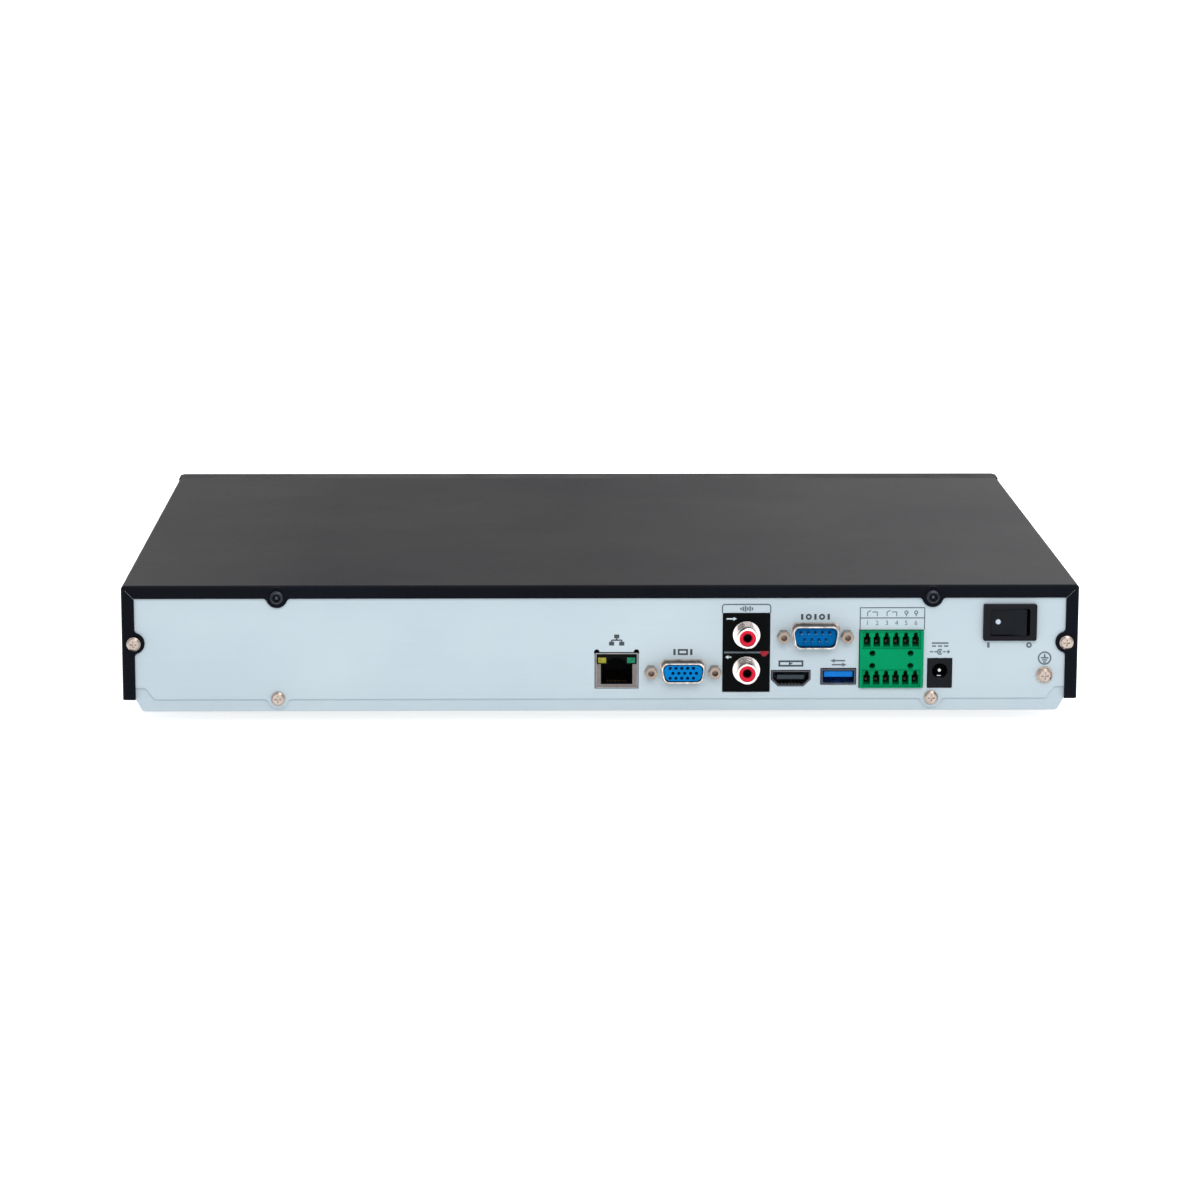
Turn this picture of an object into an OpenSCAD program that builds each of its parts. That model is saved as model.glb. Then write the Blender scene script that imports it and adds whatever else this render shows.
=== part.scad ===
// Compact two-drive network video recorder in a folded steel case: a bright pan with a
// socketed rear panel, a black lift-off cover, a moulded front and the working parts inside.
//
// Millimetres, +Z up. The rear panel faces -Y, and +X is to the right as one looks at it.
// The origin lies on the ground under the middle of the part.

/* [Case] */
// Width over the cover's side walls
case_w = 375; // [370:1:420]
// Height from the underside of the pan to the top of the cover
case_h = 50.5; // [50.5:0.5:70]
// Depth from the cover's rear flanges to the face of the front moulding
case_d = 273.5; // [270:0.5:330]
// Height of the rubber feet under the pan
foot_h = 6; // [4:0.5:10]
// Diameter of a foot where it meets the pan
foot_dia = 22; // [18:0.5:26]
// Distance of the feet from the sides of the case
foot_inset = 42; // [36:1:55]
// Distance of the rear feet from the rear
foot_rear = 48; // [44:1:60]
// Distance of the front feet from the front
foot_front = 28; // [22:1:29]

/* [Folded sheets] */
// Thickness of the cover
cover_t = 1; // [0.8:0.1:1.2]
// Thickness of the rear panel
panel_t = 1; // [0.8:0.1:1.2]
// Thickness of the pan
pan_t = 1; // [0.8:0.1:1.2]
// Inner radius of every fold
fold_r = 0.6; // [0.4:0.1:0.6]
// Width of the cover's rear flanges
flange_w = 5.1; // [4.6:0.1:5.6]
// Gap between the flanges where they meet at a mitred corner
mitre_gap = 0.4; // [0.2:0.1:0.8]
// Clearance between the cover and what stands inside it
cover_gap = 0.6; // [0.6:0.1:1]
// Height of the strip at the bottom that cover and rear panel leave bare
strip_h = 5; // [4.8:0.1:5.4]
// Width of the slope along each lower edge of the pan
slope_w = 6; // [4:0.5:7]
// Height of the slope along each lower edge of the pan
slope_h = 11.2; // [8:0.1:14]
// Height of the pan's rear lip
lip_h = 7.6; // [7:0.1:7.7]
// Width of the upright flanges at the pan's rear
post_w = 9; // [8:0.1:10]
// Chamfer of the rear panel's lower corners
corner_cut = 4.6; // [3:0.1:5.5]
// Length of the rear panel's lower corners that stays level beside the cover's flanges
corner_run = 2.2; // [1:0.1:3]

/* [Vents] */
// Width of a vent slot
vent_w = 2.4; // [1.5:0.1:3]
// Height of a vent slot in the sides
vent_h = 16; // [10:1:18]
// Distance between neighbouring slots
vent_pitch = 6; // [5:0.5:9]
// Number of slots in each side
vent_count = 18; // [6:1:22]
// Length of a vent slot in the floor
floor_vent_l = 30; // [15:1:34]
// Number of slots in each row of the floor
floor_vent_count = 9; // [3:1:11]

/* [Case screws] */
// Thread diameter of the case screws
screw_dia = 3; // [2.5:0.1:3.2]
// Head diameter of the case screws
screw_head_dia = 5.5; // [5:0.1:6]
// Head height of the case screws
screw_head_h = 1.9; // [1.5:0.1:2.4]
// Length of the shank of a case screw
screw_len = 5; // [4:0.5:7]
// Radius of the ears round the cover's screws
ear_r = 4.2; // [3.9:0.1:4.2]
// Radius of the fillets beside an ear
ear_fillet = 1.6; // [1:0.1:2.5]
// Distance of the side screws from the sides of the case
side_screw_in = 4.8; // [4.4:0.1:5.2]
// Height of the side screws above the underside of the pan
side_screw_z = 27.6; // [20:0.1:34]
// Distance of the upper screws below the top
top_screw_down = 4.6; // [4.3:0.1:4.6]
// Distance of the left upper and lower screws from the left side
left_screw_in = 60.8; // [50:0.1:80]
// Distance of the right upper and lower screws from the right side
right_screw_in = 57.6; // [54:0.1:60]
// Height of the lower screws above the underside of the pan
low_screw_z = 5.4; // [5.1:0.1:5.6]

/* [Network jack] */
// Distance of the network jack's middle from the right side
network_in = 181.4; // [180:0.1:184]
// Width of the network jack
network_w = 16.6; // [16:0.1:17]
// Height of the network jack
network_h = 14; // [13.4:0.1:14.2]
// Length of the network jack
network_l = 21; // [18:0.5:24]
// Width of the mouth that takes the plug
mouth_w = 12; // [11.7:0.1:12.3]
// Height of the mouth that takes the plug
mouth_h = 7.8; // [6.8:0.1:8]
// Thickness of a shield
shield_t = 0.4; // [0.3:0.05:0.5]

/* [Monitor and serial ports] */
// Distance of the monitor port's middle from the right side
monitor_in = 155.4; // [154:0.1:156]
// Height of the monitor port's middle above the underside of the pan
monitor_z = 16.1; // [15.8:0.1:17]
// Distance of the serial port's middle from the right side
serial_in = 103.5; // [102.5:0.1:104.5]
// Height of the serial port's middle above the underside of the pan
serial_z = 30.2; // [29.5:0.1:31]
// Distance between the two jackscrews of a port
jack_pitch = 25; // [24.6:0.1:25.2]
// Width across the flats of a jackscrew
jack_flats = 4.5; // [4.3:0.1:5]
// Length of a jackscrew outside the panel
jack_len = 5; // [4:0.1:6]
// Thread diameter in a jackscrew's mouth
jack_bore = 2.4; // [2.2:0.1:2.8]
// Height of a port's shell outside the panel
shell_reach = 4.9; // [4:0.1:5.5]
// Thickness of a port's shell
shell_t = 0.5; // [0.4:0.05:0.6]
// Width of the monitor port's shell
monitor_w = 16.8; // [16:0.1:16.9]
// Height of the monitor port's shell
monitor_h = 8; // [7.8:0.1:8.4]
// Width of the serial port's shell
serial_w = 17.9; // [17.5:0.1:18.2]
// Height of the serial port's shell
serial_h = 9; // [8.8:0.1:9.6]
// Diameter of a serial pin
serial_pin = 1; // [0.8:0.1:1.1]

/* [Audio sockets] */
// Distance of the audio sockets' axis from the right side
audio_in = 130.5; // [130:0.1:131]
// Height of the lower audio socket above the underside of the pan
audio_low_z = 16.7; // [16:0.1:17.5]
// Distance between the two audio sockets
audio_pitch = 14.1; // [13:0.1:15]
// Width of the audio sockets' black housing
audio_w = 18.1; // [17:0.1:18.4]
// Height of the housing's lower edge above the underside of the pan
audio_bottom = 7.9; // [7.8:0.1:8.4]
// Height of the audio housing's face
audio_h = 31.1; // [29:0.1:32]
// Outer diameter of an audio socket's barrel
barrel_dia = 8.3; // [8:0.1:8.6]
// Diameter of the ring at a barrel's root
barrel_ring_dia = 10.7; // [9.8:0.1:12]
// Reach of the barrels behind the cover's rear flanges
audio_reach = 8; // [6:0.1:10]
// Diameter of the insulator inside a barrel
insulator_dia = 6.4; // [5.8:0.1:6.8]
// Diameter of the hole for the plug's pin
audio_hole = 3.2; // [2.8:0.1:3.6]

/* [Video and data ports] */
// Distance of the video port's middle from the right side
video_in = 112.9; // [112.4:0.1:113.4]
// Height of the video port's middle above the underside of the pan
video_z = 13.1; // [12.7:0.1:13.8]
// Width of the video port
video_w = 15; // [14.4:0.1:15.4]
// Height of the video port
video_h = 6; // [5.6:0.1:6.2]
// Distance of the data port's middle from the right side
data_in = 94.2; // [93.6:0.1:94.8]
// Height of the data port's middle above the underside of the pan
data_z = 13.8; // [13.4:0.1:14.4]
// Width of the data port's shell
data_w = 13.1; // [12.8:0.1:13.4]
// Height of the data port's shell
data_h = 5.7; // [5.5:0.1:6]
// Width of the flare round the data port's mouth
data_flare = 0.2; // [0.2:0.1:0.6]

/* [Alarm terminals and power jack] */
// Distance of the terminal block's middle from the right side
alarm_in = 73.5; // [72.8:0.1:73.8]
// Width of the terminal block
alarm_w = 24.8; // [24.6:0.1:25.4]
// Height of the terminal block above the board
alarm_h = 22.8; // [22.4:0.1:24]
// Distance between neighbouring poles
pole_pitch = 3.81; // [3.5:0.01:3.85]
// Number of poles in a row
pole_count = 6; // [2:1:6]
// Reach of the terminal block outside the rear panel
alarm_reach = 1.5; // [0.5:0.1:2.5]
// Distance of the power jack's middle from the right side
power_in = 54.3; // [53.8:0.1:54.8]
// Width of the power jack
power_w = 9.3; // [9:0.1:9.6]
// Height of the power jack above the board
power_h = 11.4; // [10.8:0.1:12]
// Diameter of the hole that takes the plug
power_bore = 6.2; // [5.8:0.1:6.4]
// Diameter of the power jack's pin
power_pin = 2; // [1.8:0.1:2.5]

/* [Power switch] */
// Distance of the switch's middle from the right side
switch_in = 27.1; // [26.5:0.1:28]
// Distance of the switch's middle below the top of the cover
switch_down = 14.9; // [14.7:0.1:16.5]
// Width of the switch's frame
frame_w = 21; // [20:0.1:22]
// Height of the switch's frame
frame_h = 14.5; // [14:0.1:15]
// Reach of the frame outside the rear panel
frame_reach = 2; // [1.5:0.1:2.6]
// Width of the well in which the rocker turns
well_w = 15.6; // [15:0.1:16]
// Height of the well in which the rocker turns
well_h = 10.9; // [10.4:0.1:11.2]
// Clearance all round the rocker
rocker_gap = 0.2; // [0.15:0.05:0.3]
// Tilt of the rocker to each side of its middle position, in degrees
rocker_tilt = 8; // [5:0.5:9]
// Diameter of the rocker's pivot pins
pivot_dia = 2; // [1.6:0.1:2.4]

/* [Earth screw] */
// Distance of the earth screw from the right side
earth_in = 13; // [12.8:0.1:13.8]
// Height of the earth screw above the underside of the pan
earth_z = 14.3; // [12:0.1:18]
// Head diameter of the earth screw
earth_head_dia = 5.8; // [5.4:0.1:6.2]
// Thread diameter of the earth screw
earth_dia = 3.5; // [3:0.1:4]
// Diameter of the toothed washer
washer_dia = 6.9; // [6.6:0.1:8]

/* [Front] */
// Depth of the front moulding
bezel_d = 15; // [13:0.5:20]
// Wall of the front moulding
bezel_t = 2.4; // [2:0.1:3]
// Radius of the front moulding's upright corners
bezel_r = 6; // [4:0.5:9]
// Depth of the band pressed into the front
band_depth = 1; // [0.6:0.1:1.4]
// Height of the band pressed into the front
band_h = 22; // [18:0.5:26]
// Length of the window over the status lights
window_w = 46; // [36:1:60]
// Height of the window over the status lights
window_h = 5; // [4:0.1:8]

/* [Main board] */
// Height of the board's upper face above the underside of the pan
board_top = 9.4; // [9.2:0.1:9.6]
// Thickness of the board
board_t = 1.6; // [1.2:0.1:1.6]
// Width of the board
board_w = 156; // [154:1:160]
// Length of the board
board_l = 150; // [140:1:160]
// Distance of the board's right edge from the right side
board_in = 45; // [43:0.5:47]
// Width of the heat sink
sink_w = 40; // [30:1:50]
// Height of the heat sink
sink_h = 16; // [8:1:22]
// Number of fins on the heat sink
fin_count = 11; // [5:1:14]

/* [Drives] */
// Length of a drive
drive_l = 147; // [140:0.5:147]
// Width of a drive
drive_w = 101.6; // [100:0.1:102]
// Height of a drive
drive_h = 26.1; // [19:0.1:26.1]
// Clearance between the drives and the foot of the pan's left slope
drive_side_gap = 0.5; // [0.5:0.5:3]
// Distance from the pan's rear lip to the first drive
drive_rear_gap = 12; // [8:0.5:14]
// Distance between the two drives
drive_gap = 10; // [8:0.5:12]
// Height of the pressed pads that carry the drives
pad_h = 3; // [2.5:0.1:4]

/* [Hidden] */
$fn = 48;

// Colours of the finishes
steel_white = "#c8d8e0";
powder_black = "#34363a";
moulded_black = "#232529";
nickel = "#b4aca4";
port_blue = "#0a74b8";
board_green = "#1d5b3c";

// Outer planes of the case; every height named above counts from base_z
side_x = case_w / 2;
base_z = foot_h;
rear_y = (audio_reach - case_d) / 2;
front_y = rear_y + case_d;
wall_y = front_y - bezel_d;

// The sheets that lie on one another at the rear, from the outside inwards
panel_y = rear_y + cover_t;
lip_y = panel_y + panel_t;
inner_y = lip_y + pan_t;

// The pan stands inside the cover
pan_x = side_x - cover_t - cover_gap;
pan_top = case_h - cover_t - 2;
floor_top = base_z + pan_t;
cover_fold = cover_t + fold_r;
cut = 1;              // how far a cut runs past the face that it opens
fit = 0.05;           // radial clearance of a piece held in its hole
play = 0.3;           // clearance round a socket in the rear panel
fold_steps = 5;

// Shared heights on the main board, and its rear edge
board_z = base_z + board_top;
board_y = inner_y + 0.5;
board_x = side_x - board_in - board_w;
standoff_h = board_top - board_t - pan_t;
flange_y = lip_y - panel_y;   // inner face of the rear panel, counted from its outer face

// Screws in the rear: left and right x of the upper and lower pairs
rear_screw_x = [-side_x + left_screw_in, side_x - right_screw_in];
top_screw_z = case_h - top_screw_down;
panel_top = case_h - cover_t - cover_gap;

// Drives
drive_x = -pan_x + slope_w + drive_side_gap;
drive_z = floor_top + pad_h;
drive_y = [inner_y + drive_rear_gap, inner_y + drive_rear_gap + drive_w + drive_gap];
drive_hole_x = [drive_l - 41.3, drive_l - 117.5];
drive_hole_in = 3.2;
drive_screw_r = 1.7;
drive_head_dia = 6;
drive_head_h = 1.6;
drive_screw_l = 5;

// Main board fixings: distances from the board's rear left corner
standoff_r = 3;
standoff_at = [[6, 30], [board_w / 2 + 8, 30], [board_w - 5, 60],
    [6, board_l - 6], [board_w / 2, board_l - 6], [board_w - 6, board_l - 6]];

// Front board: its rear lower left corner, and what it carries
fboard_w = 84;
fboard_h = 24;
fboard_x = side_x - 129.5;
fboard_z = 12;
spacer_h = 3;
fboard_y = wall_y + spacer_h;
fport_x = fboard_x + 62;
fport_z = 24;
window_x = fboard_x + 24;
window_z = 25;

// ---------------------------------------------------------------- shared shapes

// Raises an outline drawn in X and Z along Y, from y0 inwards
module along_y(y0, len) translate([0, y0 + len, 0]) rotate([90, 0, 0]) linear_extrude(len) children();

// Raises an outline drawn in Y and Z along X, from x0 to the right
module along_x(x0, len) translate([x0, 0, 0]) rotate([90, 0, 90]) linear_extrude(len) children();

// Round bar along Y
module rod(r, y0, len) translate([0, y0 + len, 0]) rotate([90, 0, 0]) cylinder(r = r, h = len);

// Round bar along Y whose radius changes from r0 at y0 to r1
module taper(r0, r1, y0, len) translate([0, y0, 0]) rotate([-90, 0, 0]) cylinder(r1 = r0, r2 = r1, h = len);

// Stands its children at a point of the rear panel's outer face
module on_panel(x, z) translate([x, panel_y, base_z + z]) children();

module rounded(w, h, r) {
    square([w - 2 * r, h], center = true);
    square([w, h - 2 * r], center = true);
    for (sx = [-1, 1], sy = [-1, 1]) translate([sx * (w / 2 - r), sy * (h / 2 - r)]) circle(r);
}

// Rectangle whose lower edge lies at z0
module standing(w, h, z0) translate([-w / 2, z0]) square([w, h]);

// Upright slot with round ends
module slot(w, h) {
    square([w, h - w], center = true);
    for (s = [-1, 1]) translate([0, s * (h - w) / 2]) circle(w / 2, $fn = 16);
}

function unit(v) = v / norm(v);
function left_of(v) = [-v[1], v[0]];

// Arc that rounds corner b of the path a, b, c
function bend(a, b, c, r) =
    let (u = unit(a - b), v = unit(c - b), half = acos(u * v) / 2,
        m = b + unit(u + v) * r / sin(half),
        p = b + u * r / tan(half) - m, q = b + v * r / tan(half) - m,
        from = atan2(p[1], p[0]),
        turn = (atan2(q[1], q[0]) - from + 540) % 360 - 180)
    [for (i = [0:fold_steps]) let (w = from + turn * i / fold_steps) m + r * [cos(w), sin(w)]];

function soften(p, r) = [p[0], for (i = [1:len(p) - 2]) each bend(p[i - 1], p[i], p[i + 1], r),
    p[len(p) - 1]];

// Parallel path at distance t to the left
function mitre(a, b, c, t) =
    let (n = left_of(unit(b - a)), m = left_of(unit(c - b))) b + (n + m) * t / (1 + n * m);
function parallel(p, t) =
    let (e = len(p) - 1)
    [p[0] + left_of(unit(p[1] - p[0])) * t,
        for (i = [1:e - 1]) mitre(p[i - 1], p[i], p[i + 1], t),
        p[e] + left_of(unit(p[e] - p[e - 1])) * t];

// Cross-section of a sheet of thickness t folded along a path that turns to the left
function folded(p, t) =
    let (inner = soften(parallel(p, t), fold_r), e = len(inner) - 1)
    concat(soften(p, fold_r + t), [for (i = [e:-1:0]) inner[i]]);

// Screw ear that grows downwards out of a straight edge; its middle lies `up` above the edge
module ear(r, fillet, up) {
    reach = sqrt(pow(r + fillet, 2) - pow(fillet + up, 2));
    low = (up + fillet) * r / (r + fillet);
    circle(r);
    difference() {
        translate([-reach, -low]) square([2 * reach, low + max(0, -up)]);
        for (s = [-1, 1]) translate([s * reach, -up - fillet]) circle(fillet);
    }
}

// Pan-head screw along +Y with its head outside y = 0; a cross recess is cut in the head
module panhead(dia, head_dia, head_h, len) {
    dome = head_h * 0.45;
    difference() {
        union() {
            rod(dia / 2, 0, len);
            rod(head_dia / 2, dome - head_h, head_h - dome);
            taper(head_dia * 0.36, head_dia / 2, -head_h, dome);
        }
        for (turn = [0, 90]) rotate([0, turn, 0])
            translate([-head_dia * 0.25, -head_h - cut, -head_dia * 0.06])
                cube([head_dia * 0.5, cut + head_h * 0.55, head_dia * 0.12]);
    }
}

// D outline of a small multi-way port, wide side up
module dee(w, h) {
    r = 2.2;
    lean = (h - 2 * r) * tan(10);
    hull() for (s = [-1, 1]) {
        translate([s * (w / 2 - r), h / 2 - r]) circle(r, $fn = 32);
        translate([s * (w / 2 - r - lean), r - h / 2]) circle(r, $fn = 32);
    }
}

// ---------------------------------------------------------------- openings in the rear panel

network_x = side_x - network_in;
monitor_x = side_x - monitor_in;
serial_x = side_x - serial_in;
audio_x = side_x - audio_in;
video_x = side_x - video_in;
data_x = side_x - data_in;
alarm_x = side_x - alarm_in;
power_x = side_x - power_in;
switch_x = side_x - switch_in;
switch_z = case_h - switch_down;
earth_x = side_x - earth_in;
frame_lap = [1.1, 0.95];     // how far the switch's frame laps over the panel, across and up
body_w = frame_w - 2 * frame_lap[0];
body_h = frame_h - 2 * frame_lap[1];
wide = 2 * play;
notch_r = 1.1;               // round reliefs at the network jack's upper corners
notch_in = 0.5;              // and their distance from the jack's sides
port_relief = 1.2;           // how much larger a port's cutout is than its shell

module panel_openings() {
    translate([network_x, board_top + network_h / 2]) {
        square([network_w + wide, network_h + wide], center = true);
        for (s = [-1, 1]) translate([s * (network_w / 2 - notch_in), network_h / 2 + play]) circle(notch_r);
    }
    translate([monitor_x, monitor_z]) dee(monitor_w + port_relief, monitor_h + port_relief);
    translate([serial_x, serial_z]) dee(serial_w + port_relief, serial_h + port_relief);
    for (p = [[monitor_x, monitor_z], [serial_x, serial_z]], s = [-1, 1])
        translate(p + [s * jack_pitch / 2, 0]) circle(jack_hole_r);
    translate([audio_x, audio_bottom - play]) standing(audio_w + wide, audio_h + wide, 0);
    translate([video_x, video_z]) video_outline(play);
    translate([data_x, data_z])
        square([data_w + 2 * data_flare + wide, data_h + 2 * data_flare + wide], center = true);
    translate([alarm_x, board_top - play]) standing(alarm_w + wide, alarm_h + wide, 0);
    translate([power_x, board_top - play]) standing(power_w + wide, power_h + wide, 0);
    translate([switch_x, switch_z]) square([body_w + 2 * fit, body_h + 2 * fit], center = true);
    translate([earth_x, earth_z]) circle(earth_dia / 2 + fit);
    for (x = rear_screw_x) {
        translate([x, top_screw_z]) circle(screw_dia / 2 + fit);
        translate([x, low_screw_z]) circle(screw_dia / 2 + fit);
    }
    for (s = [-1, 1]) translate([s * (side_x - side_screw_in), side_screw_z]) circle(screw_dia / 2 + fit);
}

// ---------------------------------------------------------------- case

pan_path = [[-pan_x, pan_top], [-pan_x, slope_h], [-pan_x + slope_w, 0],
    [pan_x - slope_w, 0], [pan_x, slope_h], [pan_x, pan_top]];
cover_path = [[side_x, strip_h], [side_x, case_h], [-side_x, case_h], [-side_x, strip_h]];
vent_y = rear_y + 70;
vent_z = 28;

// Row of slots in both side walls
module side_vents(w, h) {
    for (i = [0:vent_count - 1])
        translate([0, vent_y + i * vent_pitch, base_z + vent_z])
            along_x(-side_x - cut, case_w + 2 * cut) slot(w, h);
}

// Rows of slots in the floor, under the board and under the front
module floor_vents() {
    for (row = [0, 1], i = [0:floor_vent_count - 1])
        translate([board_x + 28 + i * 10, board_y + 55 + row * 50, base_z - cut])
            linear_extrude(pan_t + 2 * cut) slot(vent_w, floor_vent_l);
}

// Pressed pad that carries a drive; from below it is a recess for the screw's head
module pad(solid) {
    top_r = 6;
    foot_r = top_r + pad_h;
    if (solid) translate([0, 0, floor_top - pan_t / 2])
        cylinder(r1 = foot_r + pan_t / 2, r2 = top_r, h = pad_h + pan_t / 2);
    else {
        translate([0, 0, base_z - cut]) cylinder(r = drive_screw_r + 0.2, h = pad_h + pan_t + 2 * cut);
        translate([0, 0, base_z]) cylinder(r1 = foot_r - 0.4, r2 = top_r - 0.9, h = pad_h);
        translate([0, 0, base_z - cut]) cylinder(r = foot_r - 0.4, h = cut);
    }
}

module each_drive_hole() {
    for (y = drive_y, dx = drive_hole_x, dy = [drive_hole_in, drive_w - drive_hole_in])
        translate([drive_x + dx, y + dy, 0]) children();
}

module each_standoff() {
    for (p = standoff_at) translate([board_x + p[0], board_y + p[1], 0]) children();
}

module each_foot() {
    for (sx = [-1, 1], y = [rear_y + foot_rear, front_y - foot_front])
        translate([sx * (side_x - foot_inset), y, 0]) children();
}

module each_spacer() {
    for (x = [4, fboard_w - 4], z = [4, fboard_h - 4])
        translate([fboard_x + x, 0, base_z + fboard_z + z]) children();
}

bezel_boss_x = [-side_x + 30, 0, side_x - 30];
bezel_boss_z = 10;
cable_slot_x = fboard_x + 24;
cable_slot_z = fboard_z + 8;

module chassis_pan() color(steel_white) difference() {
    union() {
        translate([0, 0, base_z]) along_y(lip_y, wall_y - lip_y) polygon(folded(pan_path, pan_t));
        // Rear lip and posts, behind the rear panel
        translate([0, 0, base_z]) along_y(lip_y, pan_t) difference() {
            polygon(soften(pan_path, fold_r + pan_t));
            translate([-pan_x + post_w, lip_h]) square([2 * (pan_x - post_w), case_h]);
        }
        // Front wall, behind the moulding
        translate([0, 0, base_z]) along_y(wall_y - pan_t, pan_t) difference() {
            polygon(soften(pan_path, fold_r + pan_t));
            translate([cable_slot_x, cable_slot_z]) rounded(18, 9, 2);
        }
        each_drive_hole() pad(true);
        each_standoff() translate([0, 0, floor_top - pan_t / 2])
            cylinder(r = standoff_r, h = standoff_h + pan_t / 2);
        each_spacer() rod(standoff_r, wall_y - pan_t / 2, spacer_h + pan_t / 2);
    }
    each_drive_hole() pad(false);
    each_standoff() translate([0, 0, base_z - cut]) cylinder(r = screw_dia / 2 + fit, h = case_h);
    each_foot() translate([0, 0, base_z - cut]) cylinder(r = screw_dia / 2 + fit, h = pan_t + 2 * cut);
    for (x = rear_screw_x) translate([x, 0, base_z + low_screw_z])
        rod(screw_dia / 2 + fit, lip_y - cut, pan_t + 2 * cut);
    for (s = [-1, 1]) translate([s * (side_x - side_screw_in), 0, base_z + side_screw_z])
        rod(screw_dia / 2 + fit, lip_y - cut, pan_t + 2 * cut);
    for (x = bezel_boss_x) translate([x, 0, base_z + bezel_boss_z])
        rod(screw_dia / 2 + fit, wall_y - pan_t - cut, pan_t + 2 * cut);
    side_vents(vent_w + 0.8, vent_h + 0.8);
    floor_vents();
}

corner_r = 1.4;

// Flat panel whose lower corners are cut off in a soft step beside the cover's flanges
module rear_panel() color(steel_white) translate([0, 0, base_z]) along_y(panel_y, panel_t) difference() {
    edge_x = pan_x - flange_w - corner_run;
    edge_z = strip_h + corner_cut;
    low_x = edge_x - 0.75 * corner_cut;
    lower_edge = [[-pan_x, edge_z], [-edge_x, edge_z], [-low_x, strip_h],
        [low_x, strip_h], [edge_x, edge_z], [pan_x, edge_z]];
    union() {
        polygon(concat(soften(lower_edge, corner_r), [[pan_x, panel_top], [-pan_x, panel_top]]));
        for (x = rear_screw_x) translate([x, low_screw_z]) ear(ear_r, ear_fillet, low_screw_z - strip_h);
    }
    panel_openings();
}

// Flange sections of the cover: along the top, and up the right side
module cover_top_strip() {
    path = [[rear_y + cover_fold + cut, case_h], [rear_y, case_h], [rear_y, case_h - flange_w]];
    along_x(-side_x, case_w) polygon(folded(path, cover_t));
}

module cover_side_strip() {
    path = [[side_x - flange_w, rear_y], [side_x, rear_y], [side_x, rear_y + cover_fold + cut]];
    translate([0, 0, strip_h]) linear_extrude(case_h - strip_h) polygon(folded(path, cover_t));
}

module top_cover() color(powder_black) difference() {
    translate([0, 0, base_z]) {
        along_y(rear_y + cover_fold, wall_y - fit - rear_y - cover_fold) polygon(folded(cover_path, cover_t));
        // Mitred flanges, rounded with the case's upper corners
        intersection() {
            along_y(rear_y - cut, 3 * cover_fold + 2 * cut) polygon(soften(cover_path, cover_fold));
            union() {
                intersection() {
                    cover_top_strip();
                    along_y(rear_y - cut, 3 * cover_fold + 2 * cut)
                        polygon([[-side_x, case_h], [side_x, case_h],
                            [side_x - 2 * flange_w, case_h - 2 * flange_w],
                            [-side_x + 2 * flange_w, case_h - 2 * flange_w]]);
                }
                for (m = [0, 1]) mirror([m, 0, 0]) intersection() {
                    cover_side_strip();
                    along_y(rear_y - cut, 3 * cover_fold + 2 * cut)
                        polygon([[side_x, case_h - mitre_gap * sqrt(2)],
                            [side_x - 2 * flange_w, case_h - 2 * flange_w - mitre_gap * sqrt(2)],
                            [side_x - 2 * flange_w, strip_h], [side_x, strip_h]]);
                }
            }
        }
        along_y(rear_y, cover_t) {
            for (x = rear_screw_x) translate([x, top_screw_z])
                ear(ear_r, ear_fillet, flange_w - top_screw_down);
            for (m = [0, 1]) mirror([m, 0, 0]) translate([side_x - side_screw_in, side_screw_z])
                rotate(-90) ear(ear_r, ear_fillet, flange_w - side_screw_in);
        }
    }
    for (x = rear_screw_x) translate([x, 0, base_z + top_screw_z])
        rod(screw_dia / 2 + fit, rear_y - cut, cover_t + 2 * cut);
    for (s = [-1, 1]) translate([s * (side_x - side_screw_in), 0, base_z + side_screw_z])
        rod(screw_dia / 2 + fit, rear_y - cut, cover_t + 2 * cut);
    side_vents(vent_w, vent_h);
}

// ---------------------------------------------------------------- front

// Plan of the moulding, with round front corners
module bezel_plan(inset) {
    r = max(bezel_r - inset, 0.5);
    x = side_x - inset;
    y = front_y - inset;
    translate([-x, wall_y - 2 * cut]) square([2 * x, y - r - wall_y + 2 * cut]);
    translate([-x + r, y - 2 * r]) square([2 * (x - r), 2 * r]);
    for (s = [-1, 1]) translate([s * (x - r), y - r]) circle(r);
}

// Side outline of the moulding: the front leans back towards its lower edge, which is
// broken, and its upper edge is broken too
lean_back = 2;
lean_z = 14;
break_low = 3;
break_top = 2;
module bezel_side(inset) {
    y = front_y - inset;
    polygon([[wall_y - cut, inset], [y - lean_back - break_low, inset], [y - lean_back, break_low + inset],
        [y, lean_z], [y, case_h - break_top - inset], [y - break_top, case_h - inset],
        [wall_y - cut, case_h - inset]]);
}

module bezel_shape(inset) intersection() {
    translate([0, 0, -cut]) linear_extrude(case_h + 2 * cut) bezel_plan(inset);
    along_x(-side_x - cut, case_w + 2 * cut) bezel_side(inset);
}

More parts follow.
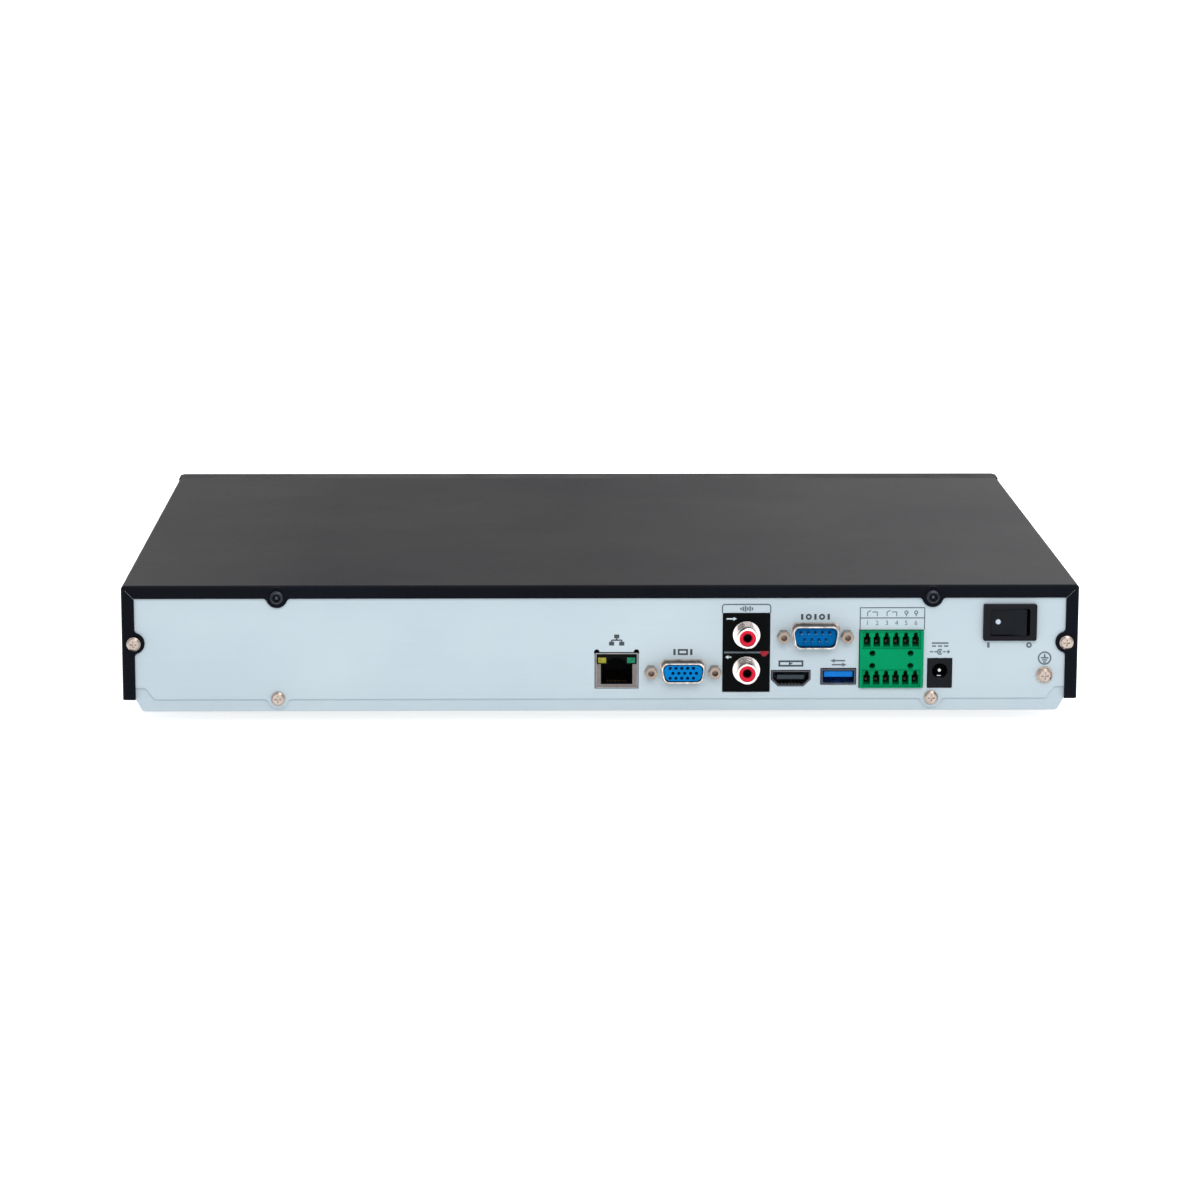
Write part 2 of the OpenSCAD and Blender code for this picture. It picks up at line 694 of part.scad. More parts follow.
band_z = 26;
window_d = 3.5;
module front_bezel() color(moulded_black) translate([0, 0, base_z]) difference() {
    union() {
        difference() {
            bezel_shape(0);
            bezel_shape(bezel_t);
            translate([-side_x - cut, wall_y - 2 * bezel_d, -cut])
                cube([case_w + 2 * cut, 2 * bezel_d, case_h + 2 * cut]);
        }
        for (x = bezel_boss_x) translate([x, 0, bezel_boss_z]) rod(standoff_r, wall_y, bezel_d - bezel_t);
        // Frame that holds the window from behind
        translate([window_x, 0, window_z]) along_y(front_y - window_d - 1, window_d) difference() {
            square([window_w + 4, window_h + 4], center = true);
            square([window_w - 4, window_h - 2], center = true);
        }
    }
    translate([0, 0, band_z]) along_y(front_y - band_depth, 2 * band_depth) rounded(case_w - 40, band_h, 3);
    translate([window_x, 0, window_z]) along_y(front_y - window_d, window_d + cut)
        rounded(window_w + 2 * fit, window_h + 2 * fit, 1);
    translate([fport_x, 0, fport_z]) along_y(front_y - 2 * bezel_d / 3, bezel_d)
        square([data_w + 2 * data_flare + wide, data_h + 2 * data_flare + wide], center = true);
    for (x = bezel_boss_x) translate([x, 0, bezel_boss_z])
        rod(screw_dia / 2 + fit, wall_y - cut, screw_len + cut);
}

module status_window() color("#3b3f46") translate([window_x, 0, base_z + window_z])
    along_y(front_y - window_d, window_d - band_depth) rounded(window_w, window_h, 1);

// ---------------------------------------------------------------- feet and screws

foot_screw_head_h = 2;
module foot() {
    difference() {
        cylinder(d1 = foot_dia - 3, d2 = foot_dia, h = foot_h);
        translate([0, 0, -cut]) cylinder(r = screw_dia / 2 + fit, h = foot_h + 2 * cut);
        translate([0, 0, -cut]) cylinder(d = screw_head_dia + 1.5, h = cut + foot_h / 2);
        translate([0, 0, -cut]) cylinder(d1 = foot_dia / 2 + 4, d2 = foot_dia / 2, h = cut + 1);
    }
}

module foot_at(sx, y) color("#202124") translate([sx * (side_x - foot_inset), y, 0]) foot();
module foot_rear_left() foot_at(-1, rear_y + foot_rear);
module foot_rear_right() foot_at(1, rear_y + foot_rear);
module foot_front_left() foot_at(-1, front_y - foot_front);
module foot_front_right() foot_at(1, front_y - foot_front);

// Upward screw whose head bears on the plane z = 0 from below
module upward(dia, head_dia, head_h, len) rotate([90, 0, 0]) panhead(dia, head_dia, head_h, len);

module foot_screws() color(nickel)
    each_foot() translate([0, 0, foot_h / 2])
        upward(screw_dia, screw_head_dia, foot_screw_head_h, foot_h / 2 + pan_t + 1.5);

module cover_side_screws() color(nickel) for (s = [-1, 1])
    translate([s * (side_x - side_screw_in), rear_y, base_z + side_screw_z])
        panhead(screw_dia, screw_head_dia, screw_head_h, screw_len);

module cover_top_screws() color("#17181b") for (x = rear_screw_x)
    translate([x, rear_y, base_z + top_screw_z])
        panhead(screw_dia, screw_head_dia - 0.3, screw_head_h, screw_len);

module rear_panel_screws() color(nickel) for (x = rear_screw_x)
    translate([x, panel_y, base_z + low_screw_z]) panhead(screw_dia, screw_head_dia, screw_head_h, screw_len);

washer_t = 0.6;
module ground_screw() color(nickel) on_panel(earth_x, earth_z) translate([0, -washer_t, 0])
    panhead(earth_dia, earth_head_dia, screw_head_h, screw_len + washer_t);

// Washer with a ring of teeth bent round its rim
module ground_washer() color(nickel) on_panel(earth_x, earth_z) along_y(-washer_t, washer_t) difference() {
    circle(washer_dia / 2);
    circle(earth_dia / 2 + fit);
    for (i = [0:11]) rotate(i * 30) translate([washer_dia / 2, 0]) circle(0.42, $fn = 16);
}

module bezel_screws() color(nickel) for (x = bezel_boss_x)
    translate([x, wall_y - pan_t, base_z + bezel_boss_z])
        panhead(screw_dia, screw_head_dia, screw_head_h, screw_len);

// ---------------------------------------------------------------- network jack

network_front = -0.4;
insert_back = network_l + network_front - shield_t;
mouth_z = board_top + 1.6;      // floor of the mouth
mouth_l = 13;
insert_front = 0.2;
latch_w = 7;
latch_tip_w = 4.1;
latch_h = 1.8;
latch_step = 0.8;
light_w = 3.2;
light_h = 2.2;
light_x = network_w / 2 - shield_t - 0.6 - light_w / 2;
light_down = 1.5;
light_z = board_top + network_h - shield_t - light_down - light_h / 2;
light_l = 6;

module network_jack_shell() color("#8d8f92") on_panel(network_x, 0) difference() {
    along_y(network_front, network_l) standing(network_w, network_h, board_top);
    along_y(network_front - cut, network_l - shield_t + cut)
        standing(network_w - 2 * shield_t, network_h - 2 * shield_t, board_top + shield_t);
}

module network_jack_insert() color("#15171a") on_panel(network_x, 0) difference() {
    along_y(insert_front, insert_back - insert_front)
        standing(network_w - 2 * shield_t - 2 * fit, network_h - 2 * shield_t - fit, board_top + shield_t);
    // Mouth with a stepped channel for the plug's latch
    along_y(insert_front - cut, mouth_l + cut) {
        standing(mouth_w, mouth_h, mouth_z);
        standing(latch_w, latch_h, mouth_z + mouth_h);
        standing(latch_tip_w, latch_h, mouth_z + mouth_h + latch_step);
    }
    for (s = [-1, 1]) translate([s * light_x, 0, light_z])
        along_y(insert_front - cut, light_l + cut)
            square([light_w + 2 * fit, light_h + 2 * fit], center = true);
}

// Eight sprung wires that rise from the mouth's floor towards its back
module network_jack_contacts() color("#c9a24a") on_panel(network_x, 0)
    for (i = [-3.5:3.5]) along_x(i * 1.02 - 0.25, 0.5) polygon([[insert_front + 4, mouth_z],
        [insert_front + 4.6, mouth_z], [insert_front + mouth_l, mouth_z + 2.6],
        [insert_front + mouth_l, mouth_z + 3], [insert_front + 4, mouth_z + 0.4]]);

module network_light(s) on_panel(network_x + s * light_x, light_z)
    along_y(insert_front - 0.1, light_l + 0.1) square([light_w, light_h], center = true);
module network_light_yellow() color("#c8c864") network_light(-1);
module network_light_green() color("#1f9272") network_light(1);

// ---------------------------------------------------------------- monitor and serial ports

jack_shank_r = 1.4;
jack_hole_r = 1.6;
port_flange_w = 30.8;
port_flange_h = 12.5;
port_flange_t = 0.8;
port_body_y = flange_y + port_flange_t;

// Shell with its mounting flange behind the rear panel
module port_shell(w, h) difference() {
    union() {
        along_y(flange_y, port_flange_t) rounded(port_flange_w, port_flange_h, 1.5);
        along_y(-shell_reach, shell_reach + flange_y + port_flange_t / 2) dee(w, h);
    }
    along_y(-shell_reach - cut, shell_reach + port_body_y + 2 * cut) dee(w - 2 * shell_t, h - 2 * shell_t);
    for (s = [-1, 1]) translate([s * jack_pitch / 2, 0, 0])
        rod(jack_hole_r, flange_y - cut, port_flange_t + 2 * cut);
}

module monitor_port_shell() color(nickel) on_panel(monitor_x, monitor_z) port_shell(monitor_w, monitor_h);
module serial_port_shell() color(nickel) on_panel(serial_x, serial_z) port_shell(serial_w, serial_h);

port_body_l = 9.5;
hole_pitch = 2.29;
hole_row = 1.98;
hole_r = 0.65;
insert_gap = 0.4;            // air between the monitor port's socket body and its shell

// Socket body with three rows of five holes, standing on the board
module monitor_port_insert() color(port_blue) on_panel(monitor_x, monitor_z) difference() {
    union() {
        along_y(0.3 - shell_reach, shell_reach + port_body_y)
            dee(monitor_w - 2 * (shell_t + insert_gap), monitor_h - 2 * (shell_t + insert_gap));
        along_y(port_body_y, port_body_l)
            standing(port_flange_w - 1, monitor_z + port_flange_h / 2 - board_top - 0.2,
                board_top - monitor_z);
    }
    for (row = [-1:1], i = [-2:2])
        translate([i * hole_pitch + (row == 0 ? hole_pitch / 4 : -hole_pitch / 4), 0, row * hole_row])
            rod(hole_r, -shell_reach - cut, 5 + cut);
    for (s = [-1, 1]) translate([s * jack_pitch / 2, 0, 0])
        rod(jack_hole_r, port_body_y - cut, port_body_l + 2 * cut);
}

serial_pitch = 2.77;
serial_row = 1.42;
serial_face = -0.9;
serial_pin_l = 3.6;

module each_serial_pin() {
    for (i = [-2:2]) translate([i * serial_pitch, 0, serial_row]) children();
    for (i = [-1.5:1.5]) translate([i * serial_pitch, 0, -serial_row]) children();
}

module serial_port_insert() color(port_blue) on_panel(serial_x, serial_z) difference() {
    union() {
        along_y(serial_face, port_body_y - serial_face + 0.1)
            dee(serial_w - 2 * shell_t - 2 * fit, serial_h - 2 * shell_t - 2 * fit);
        along_y(port_body_y, 3) rounded(port_flange_w - 11, port_flange_h - 1, 1);
    }
    each_serial_pin() rod(serial_pin / 2 + fit, serial_face - cut, 5 + cut);
}

module serial_port_pins() color("#c9a24a") on_panel(serial_x, serial_z) each_serial_pin() {
    rod(serial_pin / 2, serial_face - serial_pin_l + 0.4, serial_pin_l + 4.4);
    taper(serial_pin / 4, serial_pin / 2, serial_face - serial_pin_l, 0.4);
}

stand_l = 24;
stand_leg = 4;

// Tall block that holds the serial port above the two flat ports; its leg stands behind them
module serial_port_stand() color(moulded_black) on_panel(serial_x, 0) difference() {
    union() {
        along_y(port_body_y, stand_l) translate([0, serial_z]) rounded(port_flange_w - 1, port_flange_h, 1);
        along_y(port_body_y + stand_l - stand_leg, stand_leg)
            standing(port_flange_w - 8, serial_z - board_top, board_top);
    }
    translate([0, 0, serial_z]) {
        along_y(port_body_y - cut, 3 + fit + cut)
            rounded(port_flange_w - 11 + 2 * fit, port_flange_h - 1 + 2 * fit, 1);
        for (s = [-1, 1]) translate([s * jack_pitch / 2, 0, 0])
            rod(jack_hole_r, port_body_y - cut, stand_l / 2);
        each_serial_pin() rod(serial_pin / 2 + fit, port_body_y, 8);
    }
}

// Hexagonal standoff with a tapped mouth, and a shank through panel and flange
module jackscrew() difference() {
    union() {
        rotate([90, 0, 0]) cylinder(r = jack_flats / sqrt(3), h = jack_len - 0.4, $fn = 6);
        rod(jack_flats / 2 - 0.1, -jack_len, 1);
        rod(jack_shank_r, -0.5, 6);
    }
    rod(jack_bore / 2, -jack_len - cut, jack_len - 0.8 + cut);
}

module jackscrews() color(nickel)
    for (p = [[monitor_x, monitor_z], [serial_x, serial_z]], s = [-1, 1])
        on_panel(p[0] + s * jack_pitch / 2, p[1]) jackscrew();

// ---------------------------------------------------------------- audio sockets

audio_face = -0.5;
audio_body_l = 14;
ring_t = 0.8;
barrel_tip = -audio_reach - cover_t;
bore_r = insulator_dia / 2 + fit;
tail_r = bore_r + 0.6;
tail_l = 5;
audio_z = [audio_low_z, audio_low_z + audio_pitch];

module audio_jack_housing() color("#101214") on_panel(audio_x, 0) difference() {
    union() {
        along_y(audio_face, board_y - panel_y - 0.1 - audio_face) standing(audio_w, audio_h, audio_bottom);
        along_y(0.5, audio_body_l) standing(audio_w, audio_h + audio_bottom - board_top - 1, board_top);
    }
    for (z = audio_z) translate([0, 0, z]) {
        rod(tail_r + fit, audio_face - cut, tail_l + cut);
        rod(audio_hole / 2, 0, 10);
    }
}

module audio_sleeves() color("#d0ccc8") for (z = audio_z) on_panel(audio_x, z) difference() {
    union() {
        rod(barrel_ring_dia / 2, audio_face - ring_t, ring_t);
        rod(barrel_dia / 2, barrel_tip + 0.3, audio_face - ring_t - barrel_tip);
        taper(barrel_dia / 2 - 0.3, barrel_dia / 2, barrel_tip, 0.3);
        rod(tail_r, audio_face - 0.1, tail_l);
    }
    rod(bore_r, barrel_tip - cut, audio_reach + tail_l + 3 * cut);
}

// Coloured plug in each barrel, with the hole for the pin
module audio_insulators() color("#c91e2e") for (z = audio_z) on_panel(audio_x, z) difference() {
    rod(insulator_dia / 2, barrel_tip + 0.5, audio_face + tail_l - 0.1 - barrel_tip - 0.5);
    rod(audio_hole / 2, barrel_tip - cut, audio_reach + 2 * cut);
    taper(audio_hole / 2 + 0.5, audio_hole / 2, barrel_tip + 0.5, 0.5);
}

// ---------------------------------------------------------------- flat ports

video_front = -0.3;
video_l = 11.5;
video_corner = 2.6;

// Wide mouth whose lower corners are chamfered; `grow` moves every side outwards
module video_outline(grow) {
    w = video_w / 2 + grow;
    h = video_h / 2 + grow;
    c = video_corner + (2 - sqrt(2)) * grow;
    polygon([[-w, h], [w, h], [w, c - h], [w - c, -h], [c - w, -h], [-w, c - h]]);
}

// Shield with four solder legs that stand on the board
module video_port_shell() color("#2b2d31") on_panel(video_x, video_z) {
    difference() {
        along_y(video_front, video_l) video_outline(0);
        along_y(video_front - cut, video_l + 2 * cut) video_outline(-shield_t);
    }
    for (sx = [-1, 1], y = [3, video_l - 2])
        translate([sx * (video_w / 2 - 3.2) - 0.5, y, board_top - video_z])
        cube([1, 1.2, video_z - video_h / 2 - board_top + shield_t / 2]);
}

module video_port_tongue() color("#18191c") on_panel(video_x, video_z) {
    along_y(video_l - 3.8, 3.4) video_outline(-shield_t - fit);
    along_y(video_front + 1.2, video_l - 4.5) translate([0, 0.3]) square([video_w - 4.4, 1.6], center = true);
}

// Data port: a shield with a flared mouth, and a tongue in its upper half
data_front = -0.5;
data_l = 17.5;
tongue_h = 2.2;
tongue_down = 1.5;

module data_shell(l) difference() {
    union() {
        along_y(data_front, l) square([data_w, data_h], center = true);
        along_y(data_front, 0.5) square([data_w + 2 * data_flare, data_h + 2 * data_flare], center = true);
    }
    along_y(data_front - cut, l + cut - shield_t)
        square([data_w - 2 * shield_t, data_h - 2 * shield_t], center = true);
}

module data_tongue(l) {
    inner_h = data_h - 2 * shield_t - 2 * fit;
    along_y(data_front + l - shield_t - 3.5, 3.4)
        square([data_w - 2 * shield_t - 2 * fit, inner_h], center = true);
    along_y(data_front + 0.8, l - shield_t - 4) translate([0, inner_h / 2 - tongue_down])
        square([data_w - 1.9, tongue_h], center = true);
}

front_port_l = front_y - band_depth - data_front - fboard_y - board_t;

// The port in the front is the same part, shorter and turned to face +Y
module at_front_port() translate([fport_x, front_y - band_depth, base_z + fport_z]) rotate([0, 0, 180])
    children();

module data_port_shells() color("#9a9ca0") {
    on_panel(data_x, data_z) {
        data_shell(data_l);
        for (sx = [-1, 1], y = [4, data_l - 4])
            translate([sx * (data_w / 2 - 1.5) - 0.5, y, board_top - data_z])
            cube([1, 1.5, data_z - data_h / 2 - board_top + shield_t / 2]);
    }
    at_front_port() data_shell(front_port_l);
}

module data_port_tongues() color(port_blue) {
    on_panel(data_x, data_z) data_tongue(data_l);
    at_front_port() data_tongue(front_port_l);
}

// ---------------------------------------------------------------- alarm terminals

alarm_l = 20;
alarm_mid = board_top + alarm_h / 2;
pocket_l = 12;
pocket_h = 5.7;
pocket_z = [alarm_mid - 7.5, alarm_mid + 7.75];
trough_d = 1.2;              // depth of the two bands in which the pockets open
trough_wall = 0.9;
trough_rise = 0.7;
pin_in = 4.5;

module each_pole() {
    for (z = pocket_z, i = [0:pole_count - 1])
        translate([(i - (pole_count - 1) / 2) * pole_pitch, 0, z]) children();
}

// Bottle-shaped mouth: a wide chamber under a narrow neck
module pocket_outline() {
    translate([0, -0.85]) square([2.7, pocket_h - 1.7], center = true);
    translate([0, 0.8]) square([1.6, pocket_h - 3.2], center = true);
    translate([0, pocket_h / 2 - 0.8]) circle(0.8);
}

module alarm_terminal_block() color("#03996b") on_panel(alarm_x, 0) difference() {
    along_y(-alarm_reach, alarm_l) standing(alarm_w, alarm_h, board_top);
    for (z = pocket_z) along_y(-alarm_reach - cut, trough_d + cut) translate([0, z])
        square([alarm_w - 2 * trough_wall, pocket_h + 2 * trough_rise], center = true);
    each_pole() along_y(-alarm_reach - cut, pocket_l + cut) pocket_outline();
    for (sx = [-1, 1], sz = [-1, 1]) translate([sx * 7.5, 0, alarm_mid + sz * 2.5])
        rod(1.2, -alarm_reach - cut, 6 + cut);
}

module alarm_terminal_pins() color("#a9a6a0") on_panel(alarm_x, 0)
    each_pole() along_y(pin_in - alarm_reach, pocket_l - pin_in) translate([0, -1.2])
        square([1, 1], center = true);

// ---------------------------------------------------------------- power jack

power_front = -0.5;
power_l = 14;
power_axis = board_top + 6.6;
power_deep = 10.5;
leaf_down = 2.4;

// Sprung leaf under the pin, held in a slot behind the bore
module power_leaf(grow) translate([0, 0, -leaf_down])
    along_y(power_front + 2.5, power_deep) square([1.6 + 2 * grow, 0.4 + 2 * grow], center = true);

module power_jack_body() color("#1c1e22") on_panel(power_x, 0) difference() {
    along_y(power_front, power_l) standing(power_w, power_h, board_top);
    translate([0, 0, power_axis]) {
        rod(power_bore / 2, power_front - cut, power_deep + cut);
        power_leaf(fit);
    }
}

module power_jack_pin() color("#b9bcc0") on_panel(power_x, power_axis) {
    rod(power_pin / 2, power_front + 2, power_deep - 2);
    taper(power_pin / 2 - 0.4, power_pin / 2, power_front + 1.4, 0.6);
    power_leaf(0);
}

// ---------------------------------------------------------------- power switch

pivot_y = 3;                 // pivot behind the panel's outer face
face_down = 3.6;             // middle of the rocker's face in front of its pivot
well_deep = 9.5;
body_l = 13;
rocker_h = well_h - 2 * rocker_gap;
rocker_r = well_w / 2 - rocker_gap;
pivot_l = 0.7;

module switch_housing() color("#232429") on_panel(switch_x, switch_z) difference() {
    union() {
        along_y(-frame_reach, frame_reach) rounded(frame_w, frame_h, 0.7);
        along_y(0, body_l) square([body_w, body_h], center = true);
        // Sprung wings that snap behind the panel
        for (m = [0, 1]) mirror([m, 0, 0]) translate([0, 0, -3]) linear_extrude(6)
            polygon([[body_w / 2 - 0.2, flange_y + 0.1], [body_w / 2 + 0.7, flange_y + 0.1],
                [body_w / 2, 6], [body_w / 2 - 0.2, 6]]);
    }
    along_y(-frame_reach - cut, frame_reach + well_deep + cut) rounded(well_w, well_h, 0.6);
    translate([0, pivot_y, -well_h / 2 - pivot_l - fit])
        cylinder(r = pivot_dia / 2 + fit, h = well_h + 2 * (pivot_l + fit));
}

// Everything on the inner side of the plane that stands rocker_gap from the well's left
// wall while the left end is pressed in
module behind_left_wall() rotate(rocker_tilt) translate([-rocker_r, -well_w]) square(2 * well_w);

// Side view of the rocker in its middle position, its pivot at the origin
module rocker_outline() {
    reach = well_w / 2;
    rise = reach * tan(rocker_tilt);
    side = [[reach, -face_down - rise], [reach, -1], [rocker_r - 0.3, 0.5], [3.2, 3.2]];
    intersection() {
        polygon(concat([[0, -face_down]], side, [for (i = [3:-1:0]) [-side[i][0], side[i][1]]]));
        behind_left_wall();
        mirror([1, 0]) behind_left_wall();
    }
}

// The rocker rests with its left side pressed in
module switch_rocker() color("#1d1f24") on_panel(switch_x, switch_z) translate([0, pivot_y, 0])
    rotate([0, 0, -rocker_tilt]) {
    translate([0, 0, -rocker_h / 2]) linear_extrude(rocker_h) rocker_outline();
    translate([0, 0, -well_h / 2 - pivot_l]) cylinder(d = pivot_dia, h = well_h + 2 * pivot_l);
}

blade_x = 4.2;
blade_l = 7;
module switch_terminals() color("#b9b6ae") on_panel(switch_x, switch_z)
    for (s = [-1, 1]) translate([s * blade_x - 0.4, body_l, -2.4]) difference() {
        cube([0.8, blade_l, 4.8]);
        translate([-cut, blade_l - 2.2, 2.4]) rotate([0, 90, 0]) cylinder(d = 1.6, h = 3);
    }

// ---------------------------------------------------------------- main board and its parts

module main_board() color(board_green) difference() {
    translate([board_x, board_y, board_z - board_t]) cube([board_w, board_l, board_t]);
    each_standoff() translate([0, 0, board_z - board_t - cut])
        cylinder(r = screw_dia / 2 + 0.1, h = board_t + 2 * cut);
}

module board_screws() color(nickel) each_standoff() translate([0, 0, board_z]) rotate([-90, 0, 0])
    panhead(screw_dia, screw_head_dia, screw_head_h, screw_len + 1);

// Places on the board, counted from its rear left corner
sink_out = 84;
sink_back = 66;
sink_at = [board_x + sink_out, board_y + sink_back];
chip_w = 24;
chip_h = 2;
memory_out = 36;
memory_back = 42;
memory_pitch = 14;
memory_w = 13;
memory_l = 9;
memory_h = 1.1;

module processor_chip() color("#1b1c1e")
    translate([sink_at[0] - chip_w / 2, sink_at[1] - chip_w / 2, board_z]) cube([chip_w, chip_w, chip_h]);

module memory_chips() color("#1b1c1e") for (i = [0:3])
    translate([board_x + memory_out, board_y + memory_back + i * memory_pitch, board_z])
        cube([memory_w, memory_l, memory_h]);

sink_base_h = 3;
fin_t = 1.2;

// Extruded heat sink: a base with upright fins
module heat_sink() color("#a8abae")
    translate([sink_at[0] - sink_w / 2, sink_at[1] - sink_w / 2, board_z + chip_h]) {
    fin_pitch = (sink_w - fin_t) / (fin_count - 1);
    along_y(0, sink_w) {
        square([sink_w, sink_base_h]);
        for (i = [0:fin_count - 1]) translate([i * fin_pitch, 0]) square([fin_t, sink_h]);
    }
}

// Electrolytic capacitors with a rolled bead near the foot
module capacitor(r, h) rotate_extrude()
    polygon([[0, 0], [r, 0], [r, 1], [r - 0.3, 1.3], [r - 0.3, 1.7], [r, 2],
        [r, h - 0.4], [r - 0.4, h], [0, h]]);

capacitor_r = 4;
capacitor_h = 12;
capacitor_in = 16;           // from the board's right edge
capacitor_back = 38;
capacitor_at = [[0, 0], [0, 3.5], [-3.25, 0.75], [-3.25, 4.25]];   // in capacitor radii

module board_capacitors() color("#3a3f49") for (p = capacitor_at * capacitor_r)
    translate([board_x + board_w - capacitor_in + p[0], board_y + capacitor_back + p[1], board_z])
        capacitor(capacitor_r, capacitor_h);

battery_in = 30;             // from the board's right edge
battery_back = 108;
battery_r = 10;
battery_h = 3.2;
battery_rim = 1.6;

module clock_battery() color("#c4c6c8")
    translate([board_x + board_w - battery_in, board_y + battery_back, board_z]) {
        cylinder(r = battery_r, h = battery_h);
        translate([0, 0, battery_h]) cylinder(r = battery_r - battery_rim, h = 0.4);
    }

// Upright sockets for the drives' leads, near the board's left edge
socket_at = [[board_x + 17.5, board_y + 100], [board_x + 17.5, board_y + 122]];
socket_h = 9;
module drive_sockets() color("#1a1a1c") for (p = socket_at)
    translate([p[0], p[1], board_z]) linear_extrude(socket_h) rounded(9, 16, 1);

// ---------------------------------------------------------------- drives

module at_drive(i) translate([drive_x, drive_y[i], drive_z]) children();
lid_t = 1;
pcb_l = 62;
pcb_w = drive_w - 11.6;
pcb_x = drive_l - pcb_l - 4;
end_step = 3;
end_step_h = 6;

// Cast body with stepped ends, side screw holes and a pocket for its circuit board
module drive_casting(i) color("#8e9196") at_drive(i) difference() {
    translate([drive_l / 2, drive_w / 2, 0]) linear_extrude(drive_h - lid_t) rounded(drive_l, drive_w, 3);
    for (x = [-cut, drive_l - end_step])
        translate([x, -cut, drive_h - lid_t - end_step_h])
            cube([cut + end_step, drive_w + 2 * cut, end_step_h + cut]);
    translate([pcb_x - 0.5, (drive_w - pcb_w - 1) / 2, -cut]) cube([pcb_l + 1, pcb_w + 1, cut + 2.6]);
    for (x = drive_hole_x, y = [drive_hole_in, drive_w - drive_hole_in])
        translate([x, y, -cut]) cylinder(r = drive_screw_r + fit, h = cut + 7);
    for (x = [28.5, 101.6], s = [0, 1]) translate([drive_l - x, s * drive_w, 6.4]) rotate([90, 0, 0])
        cylinder(r = drive_screw_r, h = 8, center = true);
}
module drive_casting_rear() drive_casting(0);
module drive_casting_front() drive_casting(1);

// Bosses of the lid, counted from the drive's middle
spindle_out = 18;
spindle_boss_r = 34;
arm_out = 46;
arm_side = 18;
arm_boss_r = 11;

// Pressed lid with a large round boss over the spindle and a small one over the arm
module drive_lid(i) color("#c3c6c9") at_drive(i) translate([drive_l / 2, drive_w / 2, drive_h - lid_t]) {
    linear_extrude(lid_t * 0.6) rounded(drive_l - 6.4, drive_w - 4, 4);
    translate([-spindle_out, 0, lid_t * 0.6]) cylinder(r = spindle_boss_r, h = lid_t * 0.4);
    translate([arm_out, arm_side, lid_t * 0.6]) cylinder(r = arm_boss_r, h = lid_t * 0.4);
}
module drive_lid_rear() drive_lid(0);
module drive_lid_front() drive_lid(1);

module drive_boards() color("#1d4a63") for (i = [0, 1]) at_drive(i)
    translate([pcb_x, (drive_w - pcb_w) / 2, 1]) cube([pcb_l, pcb_w, 1.6]);

module drive_screws() color(nickel) each_drive_hole() translate([0, 0, drive_z - pan_t])
    upward(2 * drive_screw_r, drive_head_dia, drive_head_h, drive_screw_l);

// ---------------------------------------------------------------- leads inside the case

// Tube swept along its points; `ref` is a direction that the route never follows
module tube(path, r, sides, ref) {
    n = len(path);
    function heading(i) = unit(path[min(i + 1, n - 1)] - path[max(i - 1, 0)]);
    rings = [for (i = [0:n - 1]) let (t = heading(i), u = unit(cross(t, ref)), v = cross(t, u))
        for (k = [0:sides - 1]) path[i] + r * (cos(360 * k / sides) * u + sin(360 * k / sides) * v)];
    walls = [for (i = [0:n - 2], k = [0:sides - 1]) let (a = i * sides + k, b = i * sides + (k + 1) % sides)
        each [[a, b + sides, b], [a, a + sides, b + sides]]];
    polyhedron(points = rings, faces = concat(walls,
        [[for (k = [0:sides - 1]) k]], [[for (k = [sides - 1:-1:0]) (n - 1) * sides + k]]));
}

plug_l = 8;
plug_w = 30;
plug_h = 6;
socket_plug_h = 8;
sunk = 0.5;                  // how far a lead runs into its plug
drive_plug_z = drive_z + 2;
drive_plug_y = [for (y = drive_y) y + 36];

// Routes of the two leads: steps from the drive's plug, then steps from the board's socket
drive_lead_out = [
    [[0, 0, 0], [5, 0, 0], [7.5, 1, 1.5], [8.5, 3.5, 4.5], [9.5, 8, 9], [11, 14, 14], [13, 22, 18]],
    [[0, 0, 0], [5, 0, 0], [7.5, -1, 1.5], [8.5, -3, 4.5], [9.5, -7, 9], [11, -12, 14], [14, -18, 18.5]]];
drive_lead_in = [
    [[-13, -22, 4.5], [-9, -13, 6.5], [-4, -5, 6.5], [-1, -1.5, 5], [0, -0.4, 2.5], [0, 0, 0]],
    [[-11, 12, 5], [-6, 6, 7], [-2, 2, 6], [0, 0.2, 3.5], [0, 0, 0]]];

// Lead with a plug in the drive's end and a plug on the board's socket
module drive_cables() color("#b3362e") for (i = [0, 1]) {
    translate([drive_x + drive_l, drive_plug_y[i] - plug_w / 2, drive_plug_z]) cube([plug_l, plug_w, plug_h]);
    translate([socket_at[i][0] - 4, socket_at[i][1] - 7, board_z + socket_h]) cube([8, 14, socket_plug_h]);
    from = [drive_x + drive_l + plug_l - sunk, drive_plug_y[i], drive_plug_z + plug_h / 2];
    to = [socket_at[i][0], socket_at[i][1], board_z + socket_h + socket_plug_h - sunk];
    tube(concat([for (p = drive_lead_out[i]) from + p], [for (p = drive_lead_in[i]) to + p]),
        2.5, 8, [0, 1, 0]);
}

header_at = [board_x + board_w - 7.5, board_y + 21.25];
header_h = 8;

// Routes of the two wires: steps from the middle of the switch's blades, then from the header
switch_wire_out = [
    [[-blade_x, 0, 0], [-blade_x, 5.75, 0], [-6.3, 10.75, -1.6], [-11.3, 12.75, -3.6],
        [-17.3, 11.75, -5.6], [-23.3, 8.75, -7.6]],
    [[blade_x, 0, 0], [blade_x, 7.75, 0], [0.7, 13.75, -1.6], [-6.3, 16.75, -3.6],
        [-14.3, 16.75, -5.6], [-20.3, 13.75, -8.6]]];
switch_wire_in = [
    [[-1, 2, 7.6], [-2, 0, 3.6], [-2, 0, -sunk]],
    [[2.5, 5, 7.6], [2, 0, 3.6], [2, 0, -sunk]]];

